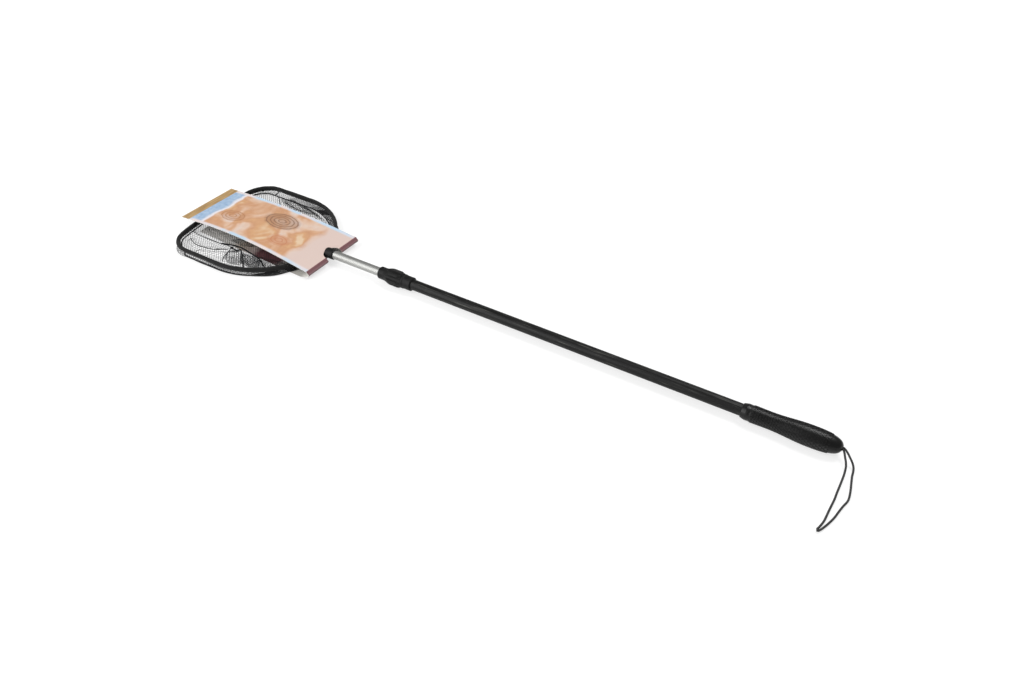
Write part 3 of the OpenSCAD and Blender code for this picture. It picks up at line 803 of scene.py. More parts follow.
bagForm = {  # mm, unless it says otherwise
    # The wall from the hem to the floor seam: how far out from the rim, and how high above the floor
    "wallLay": [(0, 6.6), (3.5, 5.6), (6.5, 3.8), (7, 1.9), (4, 1.2), (-2, 1.3), (-7, 1.5), (-11, 1.4)],
    "wallCut": 31,  # net between the hem and the floor seam
    "spacing": 5.0,  # between the points of the dropped cloth
    "edgeClear": 0.6,  # share of the spacing that the floor's points keep from its seam
    "spare": 0.045,  # share of extra net in the floor panel
    "slackMean": 0.75,  # share of the wall's lay that it swells out by, on the whole
    "slackSwing": 0.5,  # how much that share varies along the rim
    "slackLength": 38,
    "slackSeed": 2.0,
    "floorHeight": 1.3,
    "rippleRise": 0.9,  # height of small ripples in the floor
    "rippleLength": 22,
    "rippleSeed": 5.0,
    "foldRise": 7.0,  # height that the folds start from
    "foldWidth": 6.0,
    "rest": 0.9,  # height of the surface that the net lies on
    "nearOut": 15,  # how much further out the floor seam lies along the near side
    "nearFrom": -562,  # x where that starts
    "nearFade": 25,  # length over which it grows
    "throat": -345,  # x where it ends
    "throatFade": 50,
    "endOut": 11,  # how much further out it lies along the far end, so straight below the rim
    "endFrom": -545,  # x where that starts
    "endFade": 40,
    "swells": [(-362, 26, 0.35), (-545, 40, 0.15)],  # x and reach, then the near wall's extra swell
    "doubledNear": [(-490, -345), (-400, -345), (-385, -345)],  # x between which spare layers lie
    "doubledFar": [(-480, -320), (-425, -360), (-400, -380)],
    "doubledShift": [0.5, 0.25, 0.75],  # share of a cell that each spare layer is shifted by
    "gridTurn": -48,  # degrees
    "cell": 4.3,  # between strands
    "strand": 0.58,  # thickness of a strand
    "strandStep": 3.0,
    "strandSides": 4,
    "spanSteps": 6,  # steps that smooth a drawn line between two of its points
    "fuzz": (4, 4, 3.0, 0.5),  # noise pattern of the fuzzy patches
}
dropForm = {
    "frames": 40,
    "scale": 10,  # the cloth is dropped ten times as large, where its solver is steadier
    "plateHalf": 500,  # mm, half the width of the surface that it lands on
    "gap": 0.003,  # metres at that scale, which the net keeps from what it touches
    "plateGap": 0.002,
    "friction": 12.0,
    "collisionQuality": 3,
}
clothForm = {
    "quality": 8,
    "mass": 0.2,
    "air_damping": 6.0,
    "tension_stiffness": 20.0,
    "compression_stiffness": 6.0,
    "shear_stiffness": 4.0,
    "bending_stiffness": 0.08,
}
bagFolds = [  # mm, where the slack floor lies in folds
    [(-584, -70), (-545, -71), (-516, -71), (-489, -69)],
    [(-566, -89), (-547, -97), (-524, -96), (-498, -88), (-481, -76)],
    [(-526, -108), (-488, -92), (-454, -73)],
    [(-476, -73), (-475, -88), (-465, -102)],
    [(-458, -68), (-427, -92), (-419, -97)],
    [(-400, -78), (-376, -92), (-350, -84)],
    [(-540, 112), (-510, 96), (-470, 88), (-420, 92)],
    [(-500, 112), (-470, 104), (-440, 100), (-400, 86)],
    [(-520, 20), (-470, 34), (-420, 22), (-380, 30)],
    [(-560, -10), (-500, -22), (-440, -12)],
]
slackLayers = [  # mm, where spare net lies folded on the floor panel, its turn in degrees and its height
    ([(-524, 112), (-500, 116), (-460, 110), (-415, 100), (-385, 86), (-430, 86), (-493, 90)], 12, 1.8),
    ([(-512, 108), (-480, 112), (-440, 105), (-410, 96), (-440, 90), (-490, 94)], 63, 2.9),
    ([(-485, 110), (-450, 108), (-415, 99), (-440, 94)], 35, 3.8),
    ([(-476, -76), (-458, -72), (-432, -89), (-424, -96), (-445, -105), (-464, -101)], 35, 1.4),
    ([(-472, -82), (-458, -76), (-434, -90), (-446, -103), (-464, -100)], 42, 2.2),
    ([(-424, -92), (-390, -92), (-356, -74), (-346, -58), (-376, -56), (-420, -66)], 20, 1.8),
    ([(-447, -72), (-432, -68), (-408, -70), (-378, -72), (-384, -92), (-405, -98), (-432, -97)], 48, 2.6),
    ([(-444, -74), (-425, -70), (-402, -76), (-392, -90), (-410, -98), (-430, -96)], 75, 3.4),
    ([(-442, -75), (-420, -73), (-396, -80), (-398, -94), (-428, -95)], 12, 4.0),
    ([(-502, -50), (-486, -38), (-462, -33), (-452, -44), (-470, -52)], 30, 1.8),
]
seamForm = {  # mm
    "ring": 1.2,  # half width of the seam between wall and floor
    "upright": 1.0,
    "bound": 1.45,
    "thin": 0.75,
    "lift": 0.5,  # share of its half width that a seam lies above the net
    "sides": 6,
    "uprightAt": (-548, 125),  # where the wall's own seam stands
    "gatherAt": (-480, -69),
    "gather": 3.4,  # radius of the gathered point
    "gatherYarn": 0.4,  # the yarn's radius there, as a share of that
    "gatherDepth": 0.8,  # how deep its turns cross, where its reach is 3
    "gatherSteps": 60,
    "gatherSides": 8,
}
boundSeams = [  # mm
    [(-508, -67), (-492, -61), (-466, -58), (-430, -64), (-411, -68), (-386, -84)],
    [(-476, -70), (-458, -68), (-440, -82), (-427, -92), (-416, -104)],
]
thinSeams = [
    [(-584, -70), (-545, -71), (-516, -71), (-489, -69), (-480, -69)],
    [(-572, -84), (-566, -89), (-547, -97), (-524, -96), (-498, -88), (-481, -76)],
    [(-480, -69), (-476, -80), (-470, -94), (-464, -108)],
    [(-535, 112), (-515, 97), (-500, 80)],
]


def strandTree(material):
    # Lays lines drawn on the flat cut on to the dropped cloth, and gives them a round section
    tree, given = newTree("strands", {"Object": ("Cloth",), "Float": ("Radius", "Lift"), "Int": ("Sides",)})
    cloth = addNode(tree, "GeometryNodeObjectInfo", given["Cloth"])
    dropped = addNode(tree, "GeometryNodeInputNamedAttribute", "dropped", data_type="FLOAT_VECTOR")
    place = addNode(tree, "GeometryNodeInputPosition")
    sampled = addNode(tree, "GeometryNodeSampleNearestSurface", cloth.outputs["Geometry"], inputs={
        "Value": dropped, "Sample Position": place}, data_type="FLOAT_VECTOR")
    lift = addNode(tree, "ShaderNodeCombineXYZ", 0.0, 0.0, given["Lift"])
    laid = addNode(tree, "GeometryNodeSetPosition", given["Geometry"], inputs={
        "Position": sampled, "Offset": lift})
    line = addNode(tree, "GeometryNodeMeshToCurve", laid)
    section = addNode(tree, "GeometryNodeCurvePrimitiveCircle", given["Sides"], inputs={
        "Radius": given["Radius"]})
    strand = addNode(tree, "GeometryNodeCurveToMesh", line, section, inputs={"Fill Caps": True})
    endTree(tree, addNode(tree, "GeometryNodeSetShadeSmooth", strand), material)
    return tree


def foldHeight(here):
    # Height in mm that the folds give the slack floor at a point before it is dropped
    best = math.inf
    for fold in bagFolds:
        for a, b in zip(fold, fold[1:]):
            a, b = np.array(a, float), np.array(b, float)
            t = np.clip((here - a) @ (b - a) / ((b - a) @ (b - a)), 0, 1)
            best = min(best, np.linalg.norm(a + t * (b - a) - here))
    return bagForm["foldRise"] * math.exp(-(best / bagForm["foldWidth"]) ** 2)


def bagEdge():
    # Points along the hem, in mm, and the way outwards at each
    top = hoopLine(0)
    edge = evenPoints(top, int(runAlong(top)[-1] / bagForm["spacing"]), closed=True)
    ahead = np.roll(edge, -1, axis=0) - np.roll(edge, 1, axis=0)
    outward = np.stack([ahead[:, 1], -ahead[:, 0]], axis=1)
    outward /= np.linalg.norm(outward, axis=1)[:, None]
    if ((edge - edge.mean(axis=0)) * outward).sum() < 0:
        outward = -outward
    return edge, outward


def floorPoints(ring):
    # Points in staggered rows inside a ring, clear of it
    step = bagForm["spacing"]
    low, high = ring.min(axis=0), ring.max(axis=0)
    inside = []
    for level, y in enumerate(np.arange(low[1], high[1], step * math.sqrt(3) / 2)):
        for x in np.arange(low[0] + level % 2 * step / 2, high[0], step):
            reach = ring - (x, y)
            angle = np.arctan2(reach[:, 1], reach[:, 0])
            turn = np.unwrap(np.append(angle, angle[0]))
            clear = np.hypot(*reach.T).min() > step * bagForm["edgeClear"]
            if clear and abs(turn[-1] - turn[0]) > math.pi:
                inside.append((x, y))
    return inside


def bagShapes():
    # The bag as it is cut and as it is laid down, point for point, in mm
    form = bagForm
    lay = np.array(form["wallLay"], float)
    run = runAlong(lay)
    edge, outward = bagEdge()
    around = len(edge)
    middle = edge.mean(axis=0)
    grown = 1 + form["spare"]
    x, y = edge.T
    near = np.clip((x - form["nearFrom"]) / form["nearFade"], 0, 1) * (y < 0)
    near *= np.clip((form["throat"] - x) / form["throatFade"], 0, 1)
    end = np.clip((form["endFrom"] - x) / form["endFade"], 0, 1)
    deep = 1 + np.maximum(form["nearOut"] * near, form["endOut"] * end) / lay[-1, 0]
    bulge = sum(extra * np.exp(-((x - at) / reach) ** 2) for at, reach, extra in form["swells"]) * (y < 0)
    ring = edge + (lay[-1, 0] * deep)[:, None] * outward
    ringCut = middle + (ring - middle) * grown
    cut, laid = [], []
    for (grow, height), t in zip(lay, run / run[-1]):
        for k in range(around):
            wave = noise.noise(Vector((*edge[k] / form["slackLength"], form["slackSeed"])))
            slack = form["slackMean"] + bulge[k] + form["slackSwing"] * wave
            swell = grow * slack if grow > 0 else grow * deep[k]
            cut.append((*(edge[k] + (ringCut[k] - edge[k]) * t), form["wallCut"] * (1 - t)))
            laid.append((*(edge[k] + swell * outward[k]), height))
    inside = floorPoints(ringCut)
    for spot in inside:
        flat = middle + (np.array(spot) - middle) / grown
        ripple = noise.noise(Vector((*np.array(spot) / form["rippleLength"], form["rippleSeed"])))
        cut.append((*spot, 0.0))
        laid.append((*flat, form["floorHeight"] + foldHeight(flat) + form["rippleRise"] * abs(ripple)))
    seam = (len(lay) - 1) * around  # first point of the seam between wall and floor
    plan = [Vector(p) for p in ringCut] + [Vector(p) for p in inside]
    loop = [(k, (k + 1) % around) for k in range(around)]
    _, _, panels, sources, _, _ = delaunay_2d_cdt(plan, loop, [], 1, 0.001)
    faces = ringFaces(len(lay), around)
    faces += [tuple(seam + sources[i][0] for i in panel) for panel in panels]
    pinned = list(range(around)) + [seam + k for k in range(around) if end[k] > 0 or near[k] == 1]
    return {"cut": np.array(cut), "laid": np.array(laid), "faces": faces, "pinned": pinned,
            "edge": edge, "ringCut": ringCut, "middle": middle}


def dropBag(bag):
    # Drops the laid cloth on the floor, with its lengths from the cut. Its hem is pinned to the hoop,
    # and the floor seam is pinned too along the far end and the near side
    form = dropForm
    size = form["scale"] * mm
    mesh = bpy.data.meshes.new("bagCloth")
    mesh.from_pydata([tuple(p) for p in bag["laid"] * size], [], bag["faces"])
    cloth = placeObject("bagCloth", mesh)
    cloth.shape_key_add(name="laid")
    flat = cloth.shape_key_add(name="cut")
    flat.data.foreach_set("co", (bag["cut"] * size).astype(np.float32).ravel())
    pins = cloth.vertex_groups.new(name="pins")
    pins.add(bag["pinned"], 1.0, "REPLACE")
    modifier = cloth.modifiers.new("cloth", "CLOTH")
    modifier.settings.rest_shape_key = flat
    modifier.settings.vertex_group_mass = "pins"
    for key, value in clothForm.items():
        setattr(modifier.settings, key, value)
    modifier.collision_settings.distance_min = form["gap"]
    modifier.collision_settings.collision_quality = form["collisionQuality"]
    modifier.point_cache.frame_start = 1
    modifier.point_cache.frame_end = form["frames"]
    x, y, z = bag["laid"].mean(axis=0) * size
    plate = placeObject("restPlate", squareMesh(
        "restPlate", x, y, form["plateHalf"] * size, bagForm["rest"] * size))
    plate.modifiers.new("collision", "COLLISION")
    plate.collision.thickness_outer = form["plateGap"]
    plate.collision.cloth_friction = form["friction"]
    for step in range(1, form["frames"] + 1):
        scene.frame_set(step)
    shown = cloth.evaluated_get(bpy.context.evaluated_depsgraph_get())
    dropped = np.zeros(len(mesh.vertices) * 3, np.float32)
    shown.data.vertices.foreach_get("co", dropped)
    bpy.data.objects.remove(cloth)
    bpy.data.objects.remove(plate)
    scene.frame_set(1)
    return dropped.reshape(-1, 3) / size


def linesAcross(outline, angle):
    # Parallel lines a cell apart across an outline, cut off at its edge
    along = np.array((math.cos(angle), math.sin(angle)))
    over = np.array((-math.sin(angle), math.cos(angle)))
    high, reach = outline @ over, outline @ along
    pitch = bagForm["cell"]
    lines = []
    for level in np.arange(high.min() + pitch / 2, high.max(), pitch):
        crossings = []
        for i in range(len(outline)):
            n = (i + 1) % len(outline)
            a, b = high[i] - level, high[n] - level
            if (a < 0) != (b < 0):
                crossings.append(reach[i] + (reach[n] - reach[i]) * a / (a - b))
        crossings.sort()
        for start, stop in zip(crossings[::2], crossings[1::2]):
            count = max(2, int((stop - start) / bagForm["strandStep"]) + 1)
            lines.append([(*(along * s + over * level), 0.0) for s in np.linspace(start, stop, count)])
    return lines


def crossedLines(outline, turn):
    # The two sets of strands that make square cells inside an outline
    return linesAcross(outline, math.radians(turn)) + linesAcross(outline, math.radians(turn + 90))


def wallLines(edge, ringCut):
    # Slanted strands of the wall strip on the flat cut, with the spare layers set between them
    form = bagForm
    around = len(edge)
    length = runAlong(np.vstack([edge, edge[:1]]))[-1]
    turns = int(length / (form["cell"] * math.sqrt(2)))
    span = form["wallCut"] / (length / around)
    pieces = int(form["wallCut"] * math.sqrt(2) / form["strandStep"])
    starts = [start / turns * around for start in range(turns)]
    for near, far, shift in zip(form["doubledNear"], form["doubledFar"], form["doubledShift"]):
        for at in starts[:turns]:
            x, y = edge[int(at)]
            first, last = near if y < 0 else far
            if first < x < last:
                starts.append(at + shift * around / turns)
    lines = []
    for start in starts:
        for lean in (-1, 1):
            line = []
            for i in range(pieces + 1):
                t = i / pieces
                at = (start + lean * span * t) % around
                k, part = int(at), at - int(at)
                n = (k + 1) % around
                upper = edge[k] + (edge[n] - edge[k]) * part
                lower = ringCut[k] + (ringCut[n] - ringCut[k]) * part
                line.append((*(upper + (lower - upper) * t), form["wallCut"] * (1 - t)))
            lines.append(line)
    return lines


def onCut(line, middle):
    # A line drawn on the laid floor, smoothed and spread to the larger flat cut
    smooth = smoothRoute([(x, y, 0) for x, y in line], bagForm["spanSteps"])
    count = int(runAlong(line)[-1] / bagForm["strandStep"])
    spread = evenPoints([tuple(p) for p in smooth], count)
    return middle + (spread[:, :2] - middle) * (1 + bagForm["spare"])


def makeBag():
    form = bagForm
    bag = bagShapes()
    cut, edge, ringCut, middle = bag["cut"], bag["edge"], bag["ringCut"], bag["middle"]
    dropped = dropBag(bag)
    dropped[:, 2] = np.maximum(dropped[:, 2], form["rest"])
    print("bag dropped,", len(cut), "points, highest", round(float(dropped[:, 2].max()), 1), "mm")
    flatMesh = bpy.data.meshes.new("bagCut")
    flatMesh.from_pydata([tuple(p) for p in cut * mm], [], bag["faces"])
    values = flatMesh.attributes.new("dropped", "FLOAT_VECTOR", "POINT")
    values.data.foreach_set("vector", (dropped * mm).astype(np.float32).ravel())
    cutPiece = placeObject("bagCut", flatMesh)
    # Knitted polyester net: fine black strands, duller where the yarn is fuzzy
    net = grainedSurface("knittedPolyester", form["fuzz"], [(0.3, "#101011"), (0.75, "#26272a")], 0.6, {
        "Specular IOR Level": 0.3})
    tree = strandTree(net)

    def laidStrands(lines, radius, sides, lift):
        seed = lineMesh("strands", [np.array(line) * mm for line in lines])
        return growMesh("strands", seed, tree, {
            "Cloth": cutPiece, "Radius": radius * mm, "Sides": sides, "Lift": lift * mm})

    def flatLine(line):
        return [(x, y, 0.0) for x, y in line]

    layers = [(crossedLines(ringCut, form["gridTurn"]) + wallLines(edge, ringCut), 0.0)]
    for outline, turn, height in slackLayers:
        patch = onCut(outline + outline[:1], middle)
        layers.append((crossedLines(patch, turn) + [flatLine(patch)], height))
    strands = joinMeshes("netBag", [laidStrands(lines, form["strand"] / 2, form["strandSides"], height)
                                    for lines, height in layers])
    addPiece("netBag", strands, "head", [net], ["net_bag"])
    print("net knitted,", len(strands.polygons), "faces")

    around = len(edge)
    upright = min(range(around), key=lambda k: math.dist(edge[k], seamForm["uprightAt"]))
    seamLines = {
        "ring": [flatLine(np.vstack([ringCut, ringCut[:1]]))],
        "upright": [[cut[row * around + upright] for row in range(len(form["wallLay"]))]],
        "bound": [flatLine(onCut(line, middle)) for line in boundSeams],
        "thin": [flatLine(onCut(line, middle)) for line in thinSeams],
    }
    parts = [laidStrands(lines, seamForm[kind], seamForm["sides"], seamForm["lift"] * seamForm[kind])
             for kind, lines in seamLines.items()]
    yarn = seamForm["gatherYarn"] * seamForm["gather"]
    size = (seamForm["gather"] - yarn) / 3
    x, y = seamForm["gatherAt"]
    z = form["rest"] + seamForm["gather"]
    knot = [((x + size * a) * mm, (y + size * b) * mm, (z + size * c) * mm)
            for a, b, c in knotLoop(seamForm["gatherSteps"], seamForm["gatherDepth"])]
    parts.append(sweepMesh(
        "gatherKnot", knot, seamForm["gatherSides"], lambda along, angle: yarn * mm, closed=True))
    seams = joinMeshes("bagSeams", parts)
    addPiece("bagSeams", seams, "head", [net], ["bag_seams"])
    bpy.data.objects.remove(cutPiece)
    print("seams bound,", len(seams.polygons), "faces")


makeBag()


# Sleeve card: thin coated board folded round the net, with a plain generic print

cardForm = {  # mm
    "thickness": 0.6,
    "width": 132,
    "frontLength": 332,
    "edgeRun": 4,
    "edgeDrop": 4,
    "edgePower": 0.8,  # roundness of the front panel's drop to the fold
    "edgeSteps": 6,
    "backRise": 30,
    "backSteps": 12,
    "backLength": 290,
    "foldLead": 1,  # how far the fold lies in front of the inner tube's end
    "side": -3,
    "turn": 2,  # degrees
    "holeRadius": 18,
    "holeIn": 3,  # how far the hole's middle lies inside the front panel
    "holeSides": 72,
    "punchLength": 80,
    "clear": 0.6,  # from the rim's top to the middle of the front panel's board
    "archNear": 12.4,  # how far the middle of the front panel's near edge rises over its ends
    "archFar": 7.6,
    "buckle": 0.5,  # height of the uneven waves in the front panel
    "buckleLength": 70,
    "buckleWidth": 55,
    "buckleDrift": 3,  # how much the waves change over the length of the sheet
    "taper": 3,  # how much narrower the card is at its free end, on each side
    "step": 6,  # between the points of the sheet
    "sharpAngle": 30,  # degrees
}
printForm = {  # mm from the fold along the front panel, unless it says otherwise
    "goldStart": 316,
    "blueStart": 290,
    "blueSoft": 4,  # half the width over which a band blends in, here and below
    "foamLead": 7,  # how far the pale edge reaches in front of the blue
    "foamSoft": 2.5,
    "pinkEnd": 62,
    "pinkSoft": 9,
    "maroonEnd": 7.5,
    "inkSoft": 0.4,
    "borderWidth": 7,  # pale border along both long edges
    "borderSoft": 2,
    "wander": 26,  # how far the painted edges wander
    "patch": 52,  # size of the painted patches
    "speck": 9,  # size of the specks in the paint
    "woodLength": 40,  # grain in the gold band
    "woodWidth": 2.5,
    # Place along and across the sheet, reach and colour of each set of ripples
    "ripples": [(150, 22, 46, "#85604a"), (246, -14, 34, "#b07a52"), (110, -28, 30, "#c07f5c")],
    "ripplePitch": 9,
    "rippleStretch": 0.62,  # width of a ripple over its length
    "rippleWobble": 6,
    "rippleFade": 0.86,  # share of its reach where it starts to fade
    "fibre": 1.5,  # fibres on the uncoated side
    "cloud": 40,  # how far the tints there wander
}
maroon = "#7d5357"


def coatedBoard():
    # Coated carton board with a soft painted print: gold and blue bands, peach patches, brown ripples
    form = printForm
    material, tree, shader = newMaterial("coatedBoard")
    sheet = addNode(tree, "ShaderNodeUVMap", uv_map="sheet")
    spot = addNode(tree, "ShaderNodeSeparateXYZ", sheet)
    along, across = spot.outputs["X"], spot.outputs["Y"]
    wash = addNode(tree, "ShaderNodeTexNoise", sheet, inputs={
        "Scale": 1 / (form["patch"] * mm), "Detail": 2.5, "Distortion": 0.6})
    wander = form["wander"] * mm
    drift = addNode(tree, "ShaderNodeMath", wash, wander, -0.5 * wander, operation="MULTIPLY_ADD")
    wavy = addNode(tree, "ShaderNodeMath", along, drift, operation="ADD")
    patches = addNode(tree, "ShaderNodeValToRGB", wash, stops=[
        (0.36, "#d8c4b8"), (0.44, "#d9b9a2"), (0.5, "#d2a888"), (0.56, "#c89672"), (0.62, "#cfa076"),
        (0.7, "#dcc0a0")])
    speck = addNode(tree, "ShaderNodeTexNoise", sheet, inputs={
        "Scale": 1 / (form["speck"] * mm), "Detail": 4.0})
    drawn = addNode(tree, "ShaderNodeMixRGB", 0.15, patches, speck, blend_type="OVERLAY")
    for x, y, size, shade in form["ripples"]:
        centred = addNode(tree, "ShaderNodeVectorMath", sheet, (x * mm, y * mm, 0), operation="SUBTRACT")
        squeezed = addNode(tree, "ShaderNodeVectorMath", centred, (1, 1 / form["rippleStretch"], 0),
                           operation="MULTIPLY")
        reach = addNode(tree, "ShaderNodeVectorMath", squeezed, operation="LENGTH").outputs["Value"]
        wobble = addNode(tree, "ShaderNodeMath", speck, form["rippleWobble"] * mm, reach,
                         operation="MULTIPLY_ADD")
        phase = addNode(tree, "ShaderNodeMath", wobble, 2 * math.pi / (form["ripplePitch"] * mm),
                        operation="MULTIPLY")
        swing = addNode(tree, "ShaderNodeMath", phase, operation="SINE")
        crest = addNode(tree, "ShaderNodeMapRange", swing, 0.2, 0.95, 0.4, 0.9)
        fadeStart = form["rippleFade"] * size * mm
        fade = addNode(tree, "ShaderNodeMapRange", wobble, fadeStart, size * mm, 1.0, 0.0)
        ripple = addNode(tree, "ShaderNodeMath", crest, fade, operation="MULTIPLY")
        drawn = addNode(tree, "ShaderNodeMixRGB", ripple, drawn, linearColour(shade))

    def banded(below, start, soft, shade, place):
        # Lays a band of one colour over what is below, from a place along the sheet onwards
        cover = addNode(tree, "ShaderNodeMapRange", place, (start - soft) * mm, (start + soft) * mm)
        return addNode(tree, "ShaderNodeMixRGB", cover, below, shade)

    sky = addNode(tree, "ShaderNodeValToRGB", speck, stops=[(0.35, "#8fabca"), (0.7, "#b2c7dd")])
    grain = addNode(tree, "ShaderNodeMapping", sheet, inputs={
        "Scale": (1 / (form["woodWidth"] * mm), 1 / (form["woodLength"] * mm), 1)})
    wood = addNode(tree, "ShaderNodeTexNoise", grain, inputs={"Scale": 1.0, "Detail": 4.0})
    gold = addNode(tree, "ShaderNodeValToRGB", wood, stops=[(0.35, "#96764a"), (0.65, "#c3a270")])
    border = addNode(tree, "ShaderNodeValToRGB", wash, stops=[(0.4, "#bcd3e6"), (0.6, "#e2d5d3")])
    side = addNode(tree, "ShaderNodeMath", across, operation="ABSOLUTE")
    borderStart = cardForm["width"] / 2 - form["borderWidth"]
    foamStart = form["blueStart"] - form["foamLead"]
    pink = banded(linearColour("#d6c1b8"), form["pinkEnd"], form["pinkSoft"], drawn, wavy)
    foamed = banded(pink, foamStart, form["foamSoft"], linearColour("#e6e2e6"), wavy)
    blue = banded(foamed, form["blueStart"], form["blueSoft"], sky, wavy)
    edged = banded(blue, borderStart, form["borderSoft"], border, side)
    folded = banded(linearColour(maroon), form["maroonEnd"], form["inkSoft"], edged, along)
    whole = banded(folded, form["goldStart"], form["inkSoft"], gold, along)
    setInputs(tree, shader, {"Base Color": whole, "Roughness": 0.42, "Specular IOR Level": 0.4})
    return material


def greyBoard():
    # Uncoated inside of the board: grey recycled pulp with fibre specks, tinted near the fold, and with
    # painted light: far from the fold and on the front panel's underside it is painted near white, and its
    # pink and brown tints are painted paler, to lift the shade under the front panel
    form = printForm
    material, tree, shader = newMaterial("greyBackBoard")
    sheet = addNode(tree, "ShaderNodeUVMap", uv_map="sheet")
    spot = addNode(tree, "ShaderNodeSeparateXYZ", sheet)
    fibre = addNode(tree, "ShaderNodeTexNoise", sheet, inputs={
        "Scale": 1 / (form["fibre"] * mm), "Detail": 4.0})
    cloudy = addNode(tree, "ShaderNodeTexNoise", sheet, inputs={
        "Scale": 1 / (form["cloud"] * mm), "Detail": 2.0})
    place = addNode(tree, "ShaderNodeMath", cloudy, form["cloud"] * mm, spot, operation="MULTIPLY_ADD")
    share = addNode(tree, "ShaderNodeMapRange", place, -cardForm["backLength"] * mm, 0.0)
    # Painted light: the near-white stops far from the fold, and at 1 where the front panel's underside
    # lies, lift the shade under the front panel and throw more light down on the back panel; the pink and
    # brown print tints are painted paler for the same reason. Maroon is print and #bdbab5 is the board's
    # own grey
    tintAndPaintedLight = addNode(tree, "ShaderNodeValToRGB", share, stops=[
        (0.34, "#f1eeea"), (0.44, "#ecdccb"), (0.52, "#dccbc6"), (0.58, maroon), (0.72, "#7a5055"),
        (0.8, "#bdbab5"), (0.96, "#bdbab5"), (1.0, "#f4f2ee")])
    speckled = addNode(tree, "ShaderNodeMixRGB", 0.3, tintAndPaintedLight, fibre, blend_type="OVERLAY")
    setInputs(tree, shader, {"Base Color": speckled, "Roughness": 0.9, "Specular IOR Level": 0.2})
    return material


def cardProfile():
    # The sheet's middle line from the front panel's free end, round the fold, to the back panel's end
    form = cardForm
    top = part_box("rim_sleeve")[1].z / mm + form["clear"]
    fold = top - form["edgeDrop"]
    low = form["thickness"] / 2
    rows = int(form["frontLength"] / form["step"])
    line = [(-form["edgeRun"] - form["frontLength"] * (1 - i / rows), top) for i in range(rows + 1)]
    for i in range(1, form["edgeSteps"] + 1):
        t = i / form["edgeSteps"]
        line.append((-form["edgeRun"] * (1 - t) ** form["edgePower"], top + (fold - top) * t))
    for i in range(1, form["backSteps"] + 1):
        angle = math.pi / 2 * i / form["backSteps"]
        line.append((-form["backRise"] * (1 - math.cos(angle)), fold + (low - fold) * math.sin(angle)))
    steps = int((form["backLength"] - form["backRise"]) / form["step"])
    for i in range(1, steps + 1):
        line.append((-form["backRise"] - (form["backLength"] - form["backRise"]) * i / steps, low))
    return np.array(line)


def cardSheet():
    # The folded sheet as closed board, with each point's place on the flat sheet as its UV map
    form = cardForm
    line = cardProfile()
    rows = len(line)
    ahead = np.gradient(line, axis=0)
    ahead /= np.linalg.norm(ahead, axis=1)[:, None]
    out = np.stack([-ahead[:, 1], ahead[:, 0]], axis=1)
    run = runAlong(line)
    foldAt = int(np.argmax(line[:, 0]))
    reach = form["edgeRun"] + form["frontLength"]
    half = form["width"] / 2
    columns = int(form["width"] / form["step"])
    sides = [-half + form["width"] * j / columns for j in range(columns + 1)]
    archMean = (form["archFar"] + form["archNear"]) / 2
    archLean = (form["archNear"] - form["archFar"]) / 2
    points, spots = [], []
    for face in (1, -1):
        for i in range(rows):
            back = -line[i, 0]  # distance behind the fold
            share = max(back - form["edgeRun"], 0) / form["frontLength"]
            bow = math.sin(math.pi * share) if i < foldAt else 0.0
            tight = 1 - form["taper"] / half * back / reach
            x, z = line[i] + face * form["thickness"] / 2 * out[i]
            for y in sides:
                wave = noise.noise(Vector((-back / form["buckleLength"], y / form["buckleWidth"],
                                           i / rows * form["buckleDrift"])))
                raised = (archMean - archLean * y / half + form["buckle"] * wave) * bow
                points.append((x * mm, y * tight * mm, (z + raised) * mm))
                spots.append(((run[foldAt] - run[i]) * mm, y * mm))
    wide = columns + 1
    layer = rows * wide
    faces = []
    for i in range(rows - 1):
        for j in range(columns):
            a, b = i * wide + j, (i + 1) * wide + j
            faces.append((a, a + 1, b + 1, b))
            faces.append((layer + a, layer + b, layer + b + 1, layer + a + 1))
    panels = len(faces)  # outer and inner faces by turns, and after them the cut edges
    for i in range(rows - 1):
        for j in (0, columns):
            a, b = i * wide + j, (i + 1) * wide + j
            faces.append((a, b, layer + b, layer + a))
    for j in range(columns):
        for i in (0, rows - 1):
            a = i * wide + j
            faces.append((a, a + 1, layer + a + 1, layer + a))
    mesh = meshFrom("sleeveCard", points, faces, form["sharpAngle"])
    sheet = mesh.uv_layers.new(name="sheet")
    for corner in mesh.loops:
        sheet.data[corner.index].uv = spots[corner.vertex_index]
    mesh.materials.append(coatedBoard())
    mesh.materials.append(greyBoard())
    for k, face in enumerate(mesh.polygons):
        face.material_index = 0 if k < panels and k % 2 == 0 else 1
    return mesh


def punchCard(mesh):
    # Cuts the hole for the pole through the board at the fold
    form = cardForm
    punch = bmesh.new()
    bmesh.ops.create_cone(punch, cap_ends=True, segments=form["holeSides"], radius1=form["holeRadius"] * mm,
                          radius2=form["holeRadius"] * mm, depth=form["punchLength"] * mm)
    bmesh.ops.translate(punch, verts=punch.verts, vec=(-form["holeIn"] * mm, -form["side"] * mm, 0))
    punchMesh = bpy.data.meshes.new("cardPunch")
    punch.to_mesh(punchMesh)
    punch.free()
    punchMesh.materials.append(mesh.materials[1])
    holder = placeObject("sleeveCard", mesh)
    punchPiece = placeObject("cardPunch", punchMesh)
    cutter = holder.modifiers.new("hole", "BOOLEAN")
    cutter.operation = "DIFFERENCE"
    cutter.solver = "EXACT"
    cutter.material_mode = "TRANSFER"
    cutter.object = punchPiece
    shown = holder.evaluated_get(bpy.context.evaluated_depsgraph_get())
    punched = bpy.data.meshes.new_from_object(shown)
    bpy.data.objects.remove(holder)
    bpy.data.objects.remove(punchPiece)
    return punched


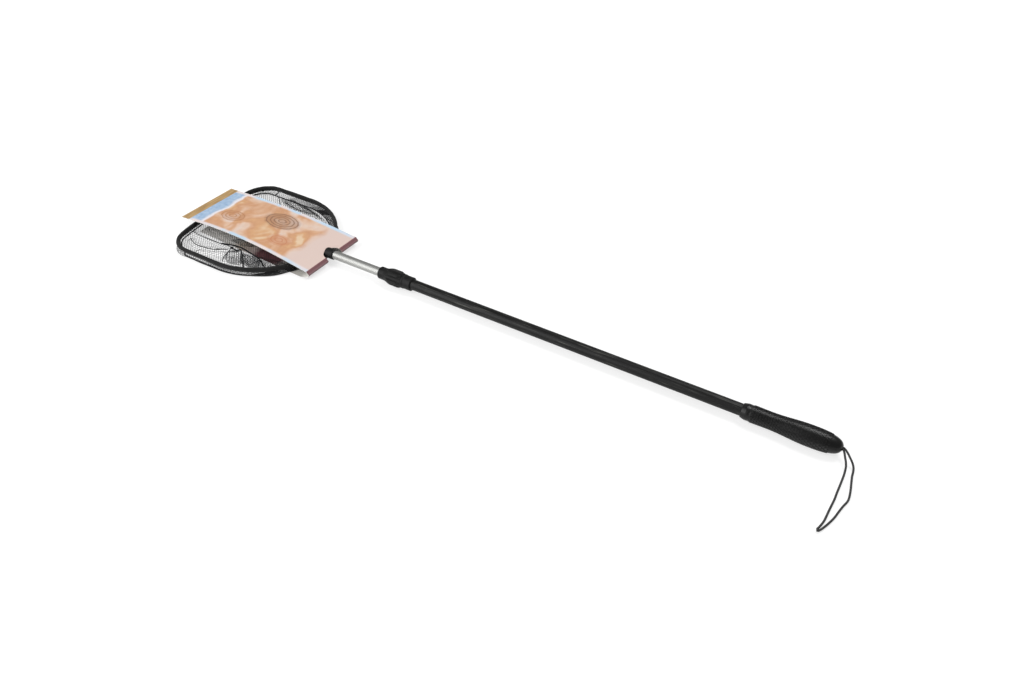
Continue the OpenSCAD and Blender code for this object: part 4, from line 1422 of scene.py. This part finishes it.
def makeCard():
    form = cardForm
    card = punchCard(cardSheet())
    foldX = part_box("inner_tube")[0].x - form["foldLead"] * mm
    card.transform(Matrix.Translation((foldX, form["side"] * mm, 0)) @
                   Matrix.Rotation(math.radians(-form["turn"]), 4, "Z"))
    card.shade_smooth()
    card.set_sharp_from_angle(angle=math.radians(form["sharpAngle"]))
    card.name = "sleeveCard"
    addPiece("sleeveCard", card, "head", [], ["sleeve_card"])
    print("card folded,", len(card.polygons), "faces")


makeCard()


# Stage, light and world

studioForm = {
    "floorHeight": -0.9,  # mm, just clear of the lowest piece
    "floorHalf": 40.0,  # metres
    "floorGrey": 0.4,
    "nearLift": 0.68,  # what camera and mirror rays see added, so that the floor is white
    "farLift": 0.9,
    "liftFrom": 0.8,  # metres from the middle, where the added white starts to grow
    "liftTo": 2.0,
    "worldStrength": 0.34,
}
softboxes = {  # place, aim and size in metres, then radiance
    "leftSoftbox": ((-1.5, -1.6, 2.0), (-0.1, 0, 0), (2.2, 1.9), 3.2),
    "backSoftbox": ((0.6, 0.9, 2.2), (0.3, 0, 0), (0.9, 1.0), 11.0),
    "lowSoftbox": ((-1.4, -2.6, 1.0), (-0.2, 0, 0), (2.4, 1.3), 3.6),
}


def whiteSweep():
    # Matt white sweep: camera and mirror rays see it lifted to white, and it still takes the shadow
    form = studioForm
    material, tree, shader = newMaterial("whiteSweep")
    path = addNode(tree, "ShaderNodeLightPath")
    seen = path.outputs["Is Camera Ray"]
    for kind in ("Is Glossy Ray", "Is Transmission Ray"):
        seen = addNode(tree, "ShaderNodeMath", seen, path.outputs[kind], operation="MAXIMUM")
    place = addNode(tree, "ShaderNodeTexCoord").outputs["Object"]
    reach = addNode(tree, "ShaderNodeVectorMath", place, operation="LENGTH").outputs["Value"]
    white = addNode(tree, "ShaderNodeMapRange", reach, form["liftFrom"], form["liftTo"],
                    form["nearLift"], form["farLift"])
    lift = addNode(tree, "ShaderNodeMath", seen, white, operation="MULTIPLY")
    grey = form["floorGrey"]
    setInputs(tree, shader, {
        "Base Color": (grey, grey, grey, 1), "Roughness": 0.9, "Specular IOR Level": 0.0,
        "Emission Color": (1, 1, 1, 1), "Emission Strength": lift})
    return material


def makeStage():
    form = studioForm
    mesh = squareMesh("floor", 0.0, 0.0, form["floorHalf"], form["floorHeight"] * mm)
    mesh.materials.append(whiteSweep())
    placeObject("floor", mesh)
    world = bpy.data.worlds.new("studio")
    world.use_nodes = True
    background = world.node_tree.nodes["Background"]
    background.inputs["Color"].default_value = (1, 1, 1, 1)
    background.inputs["Strength"].default_value = form["worldStrength"]
    scene.world = world
    for name, (place, aim, size, radiance) in softboxes.items():
        lamp = bpy.data.lights.new(name, "AREA")
        lamp.shape = "RECTANGLE"
        lamp.size, lamp.size_y = size
        lamp.energy = radiance * math.pi * size[0] * size[1]
        holder = placeObject(name, lamp)
        holder.location = place
        holder.rotation_euler = (Vector(aim) - Vector(place)).to_track_quat("-Z", "Y").to_euler()


makeStage()
print("stage ready")
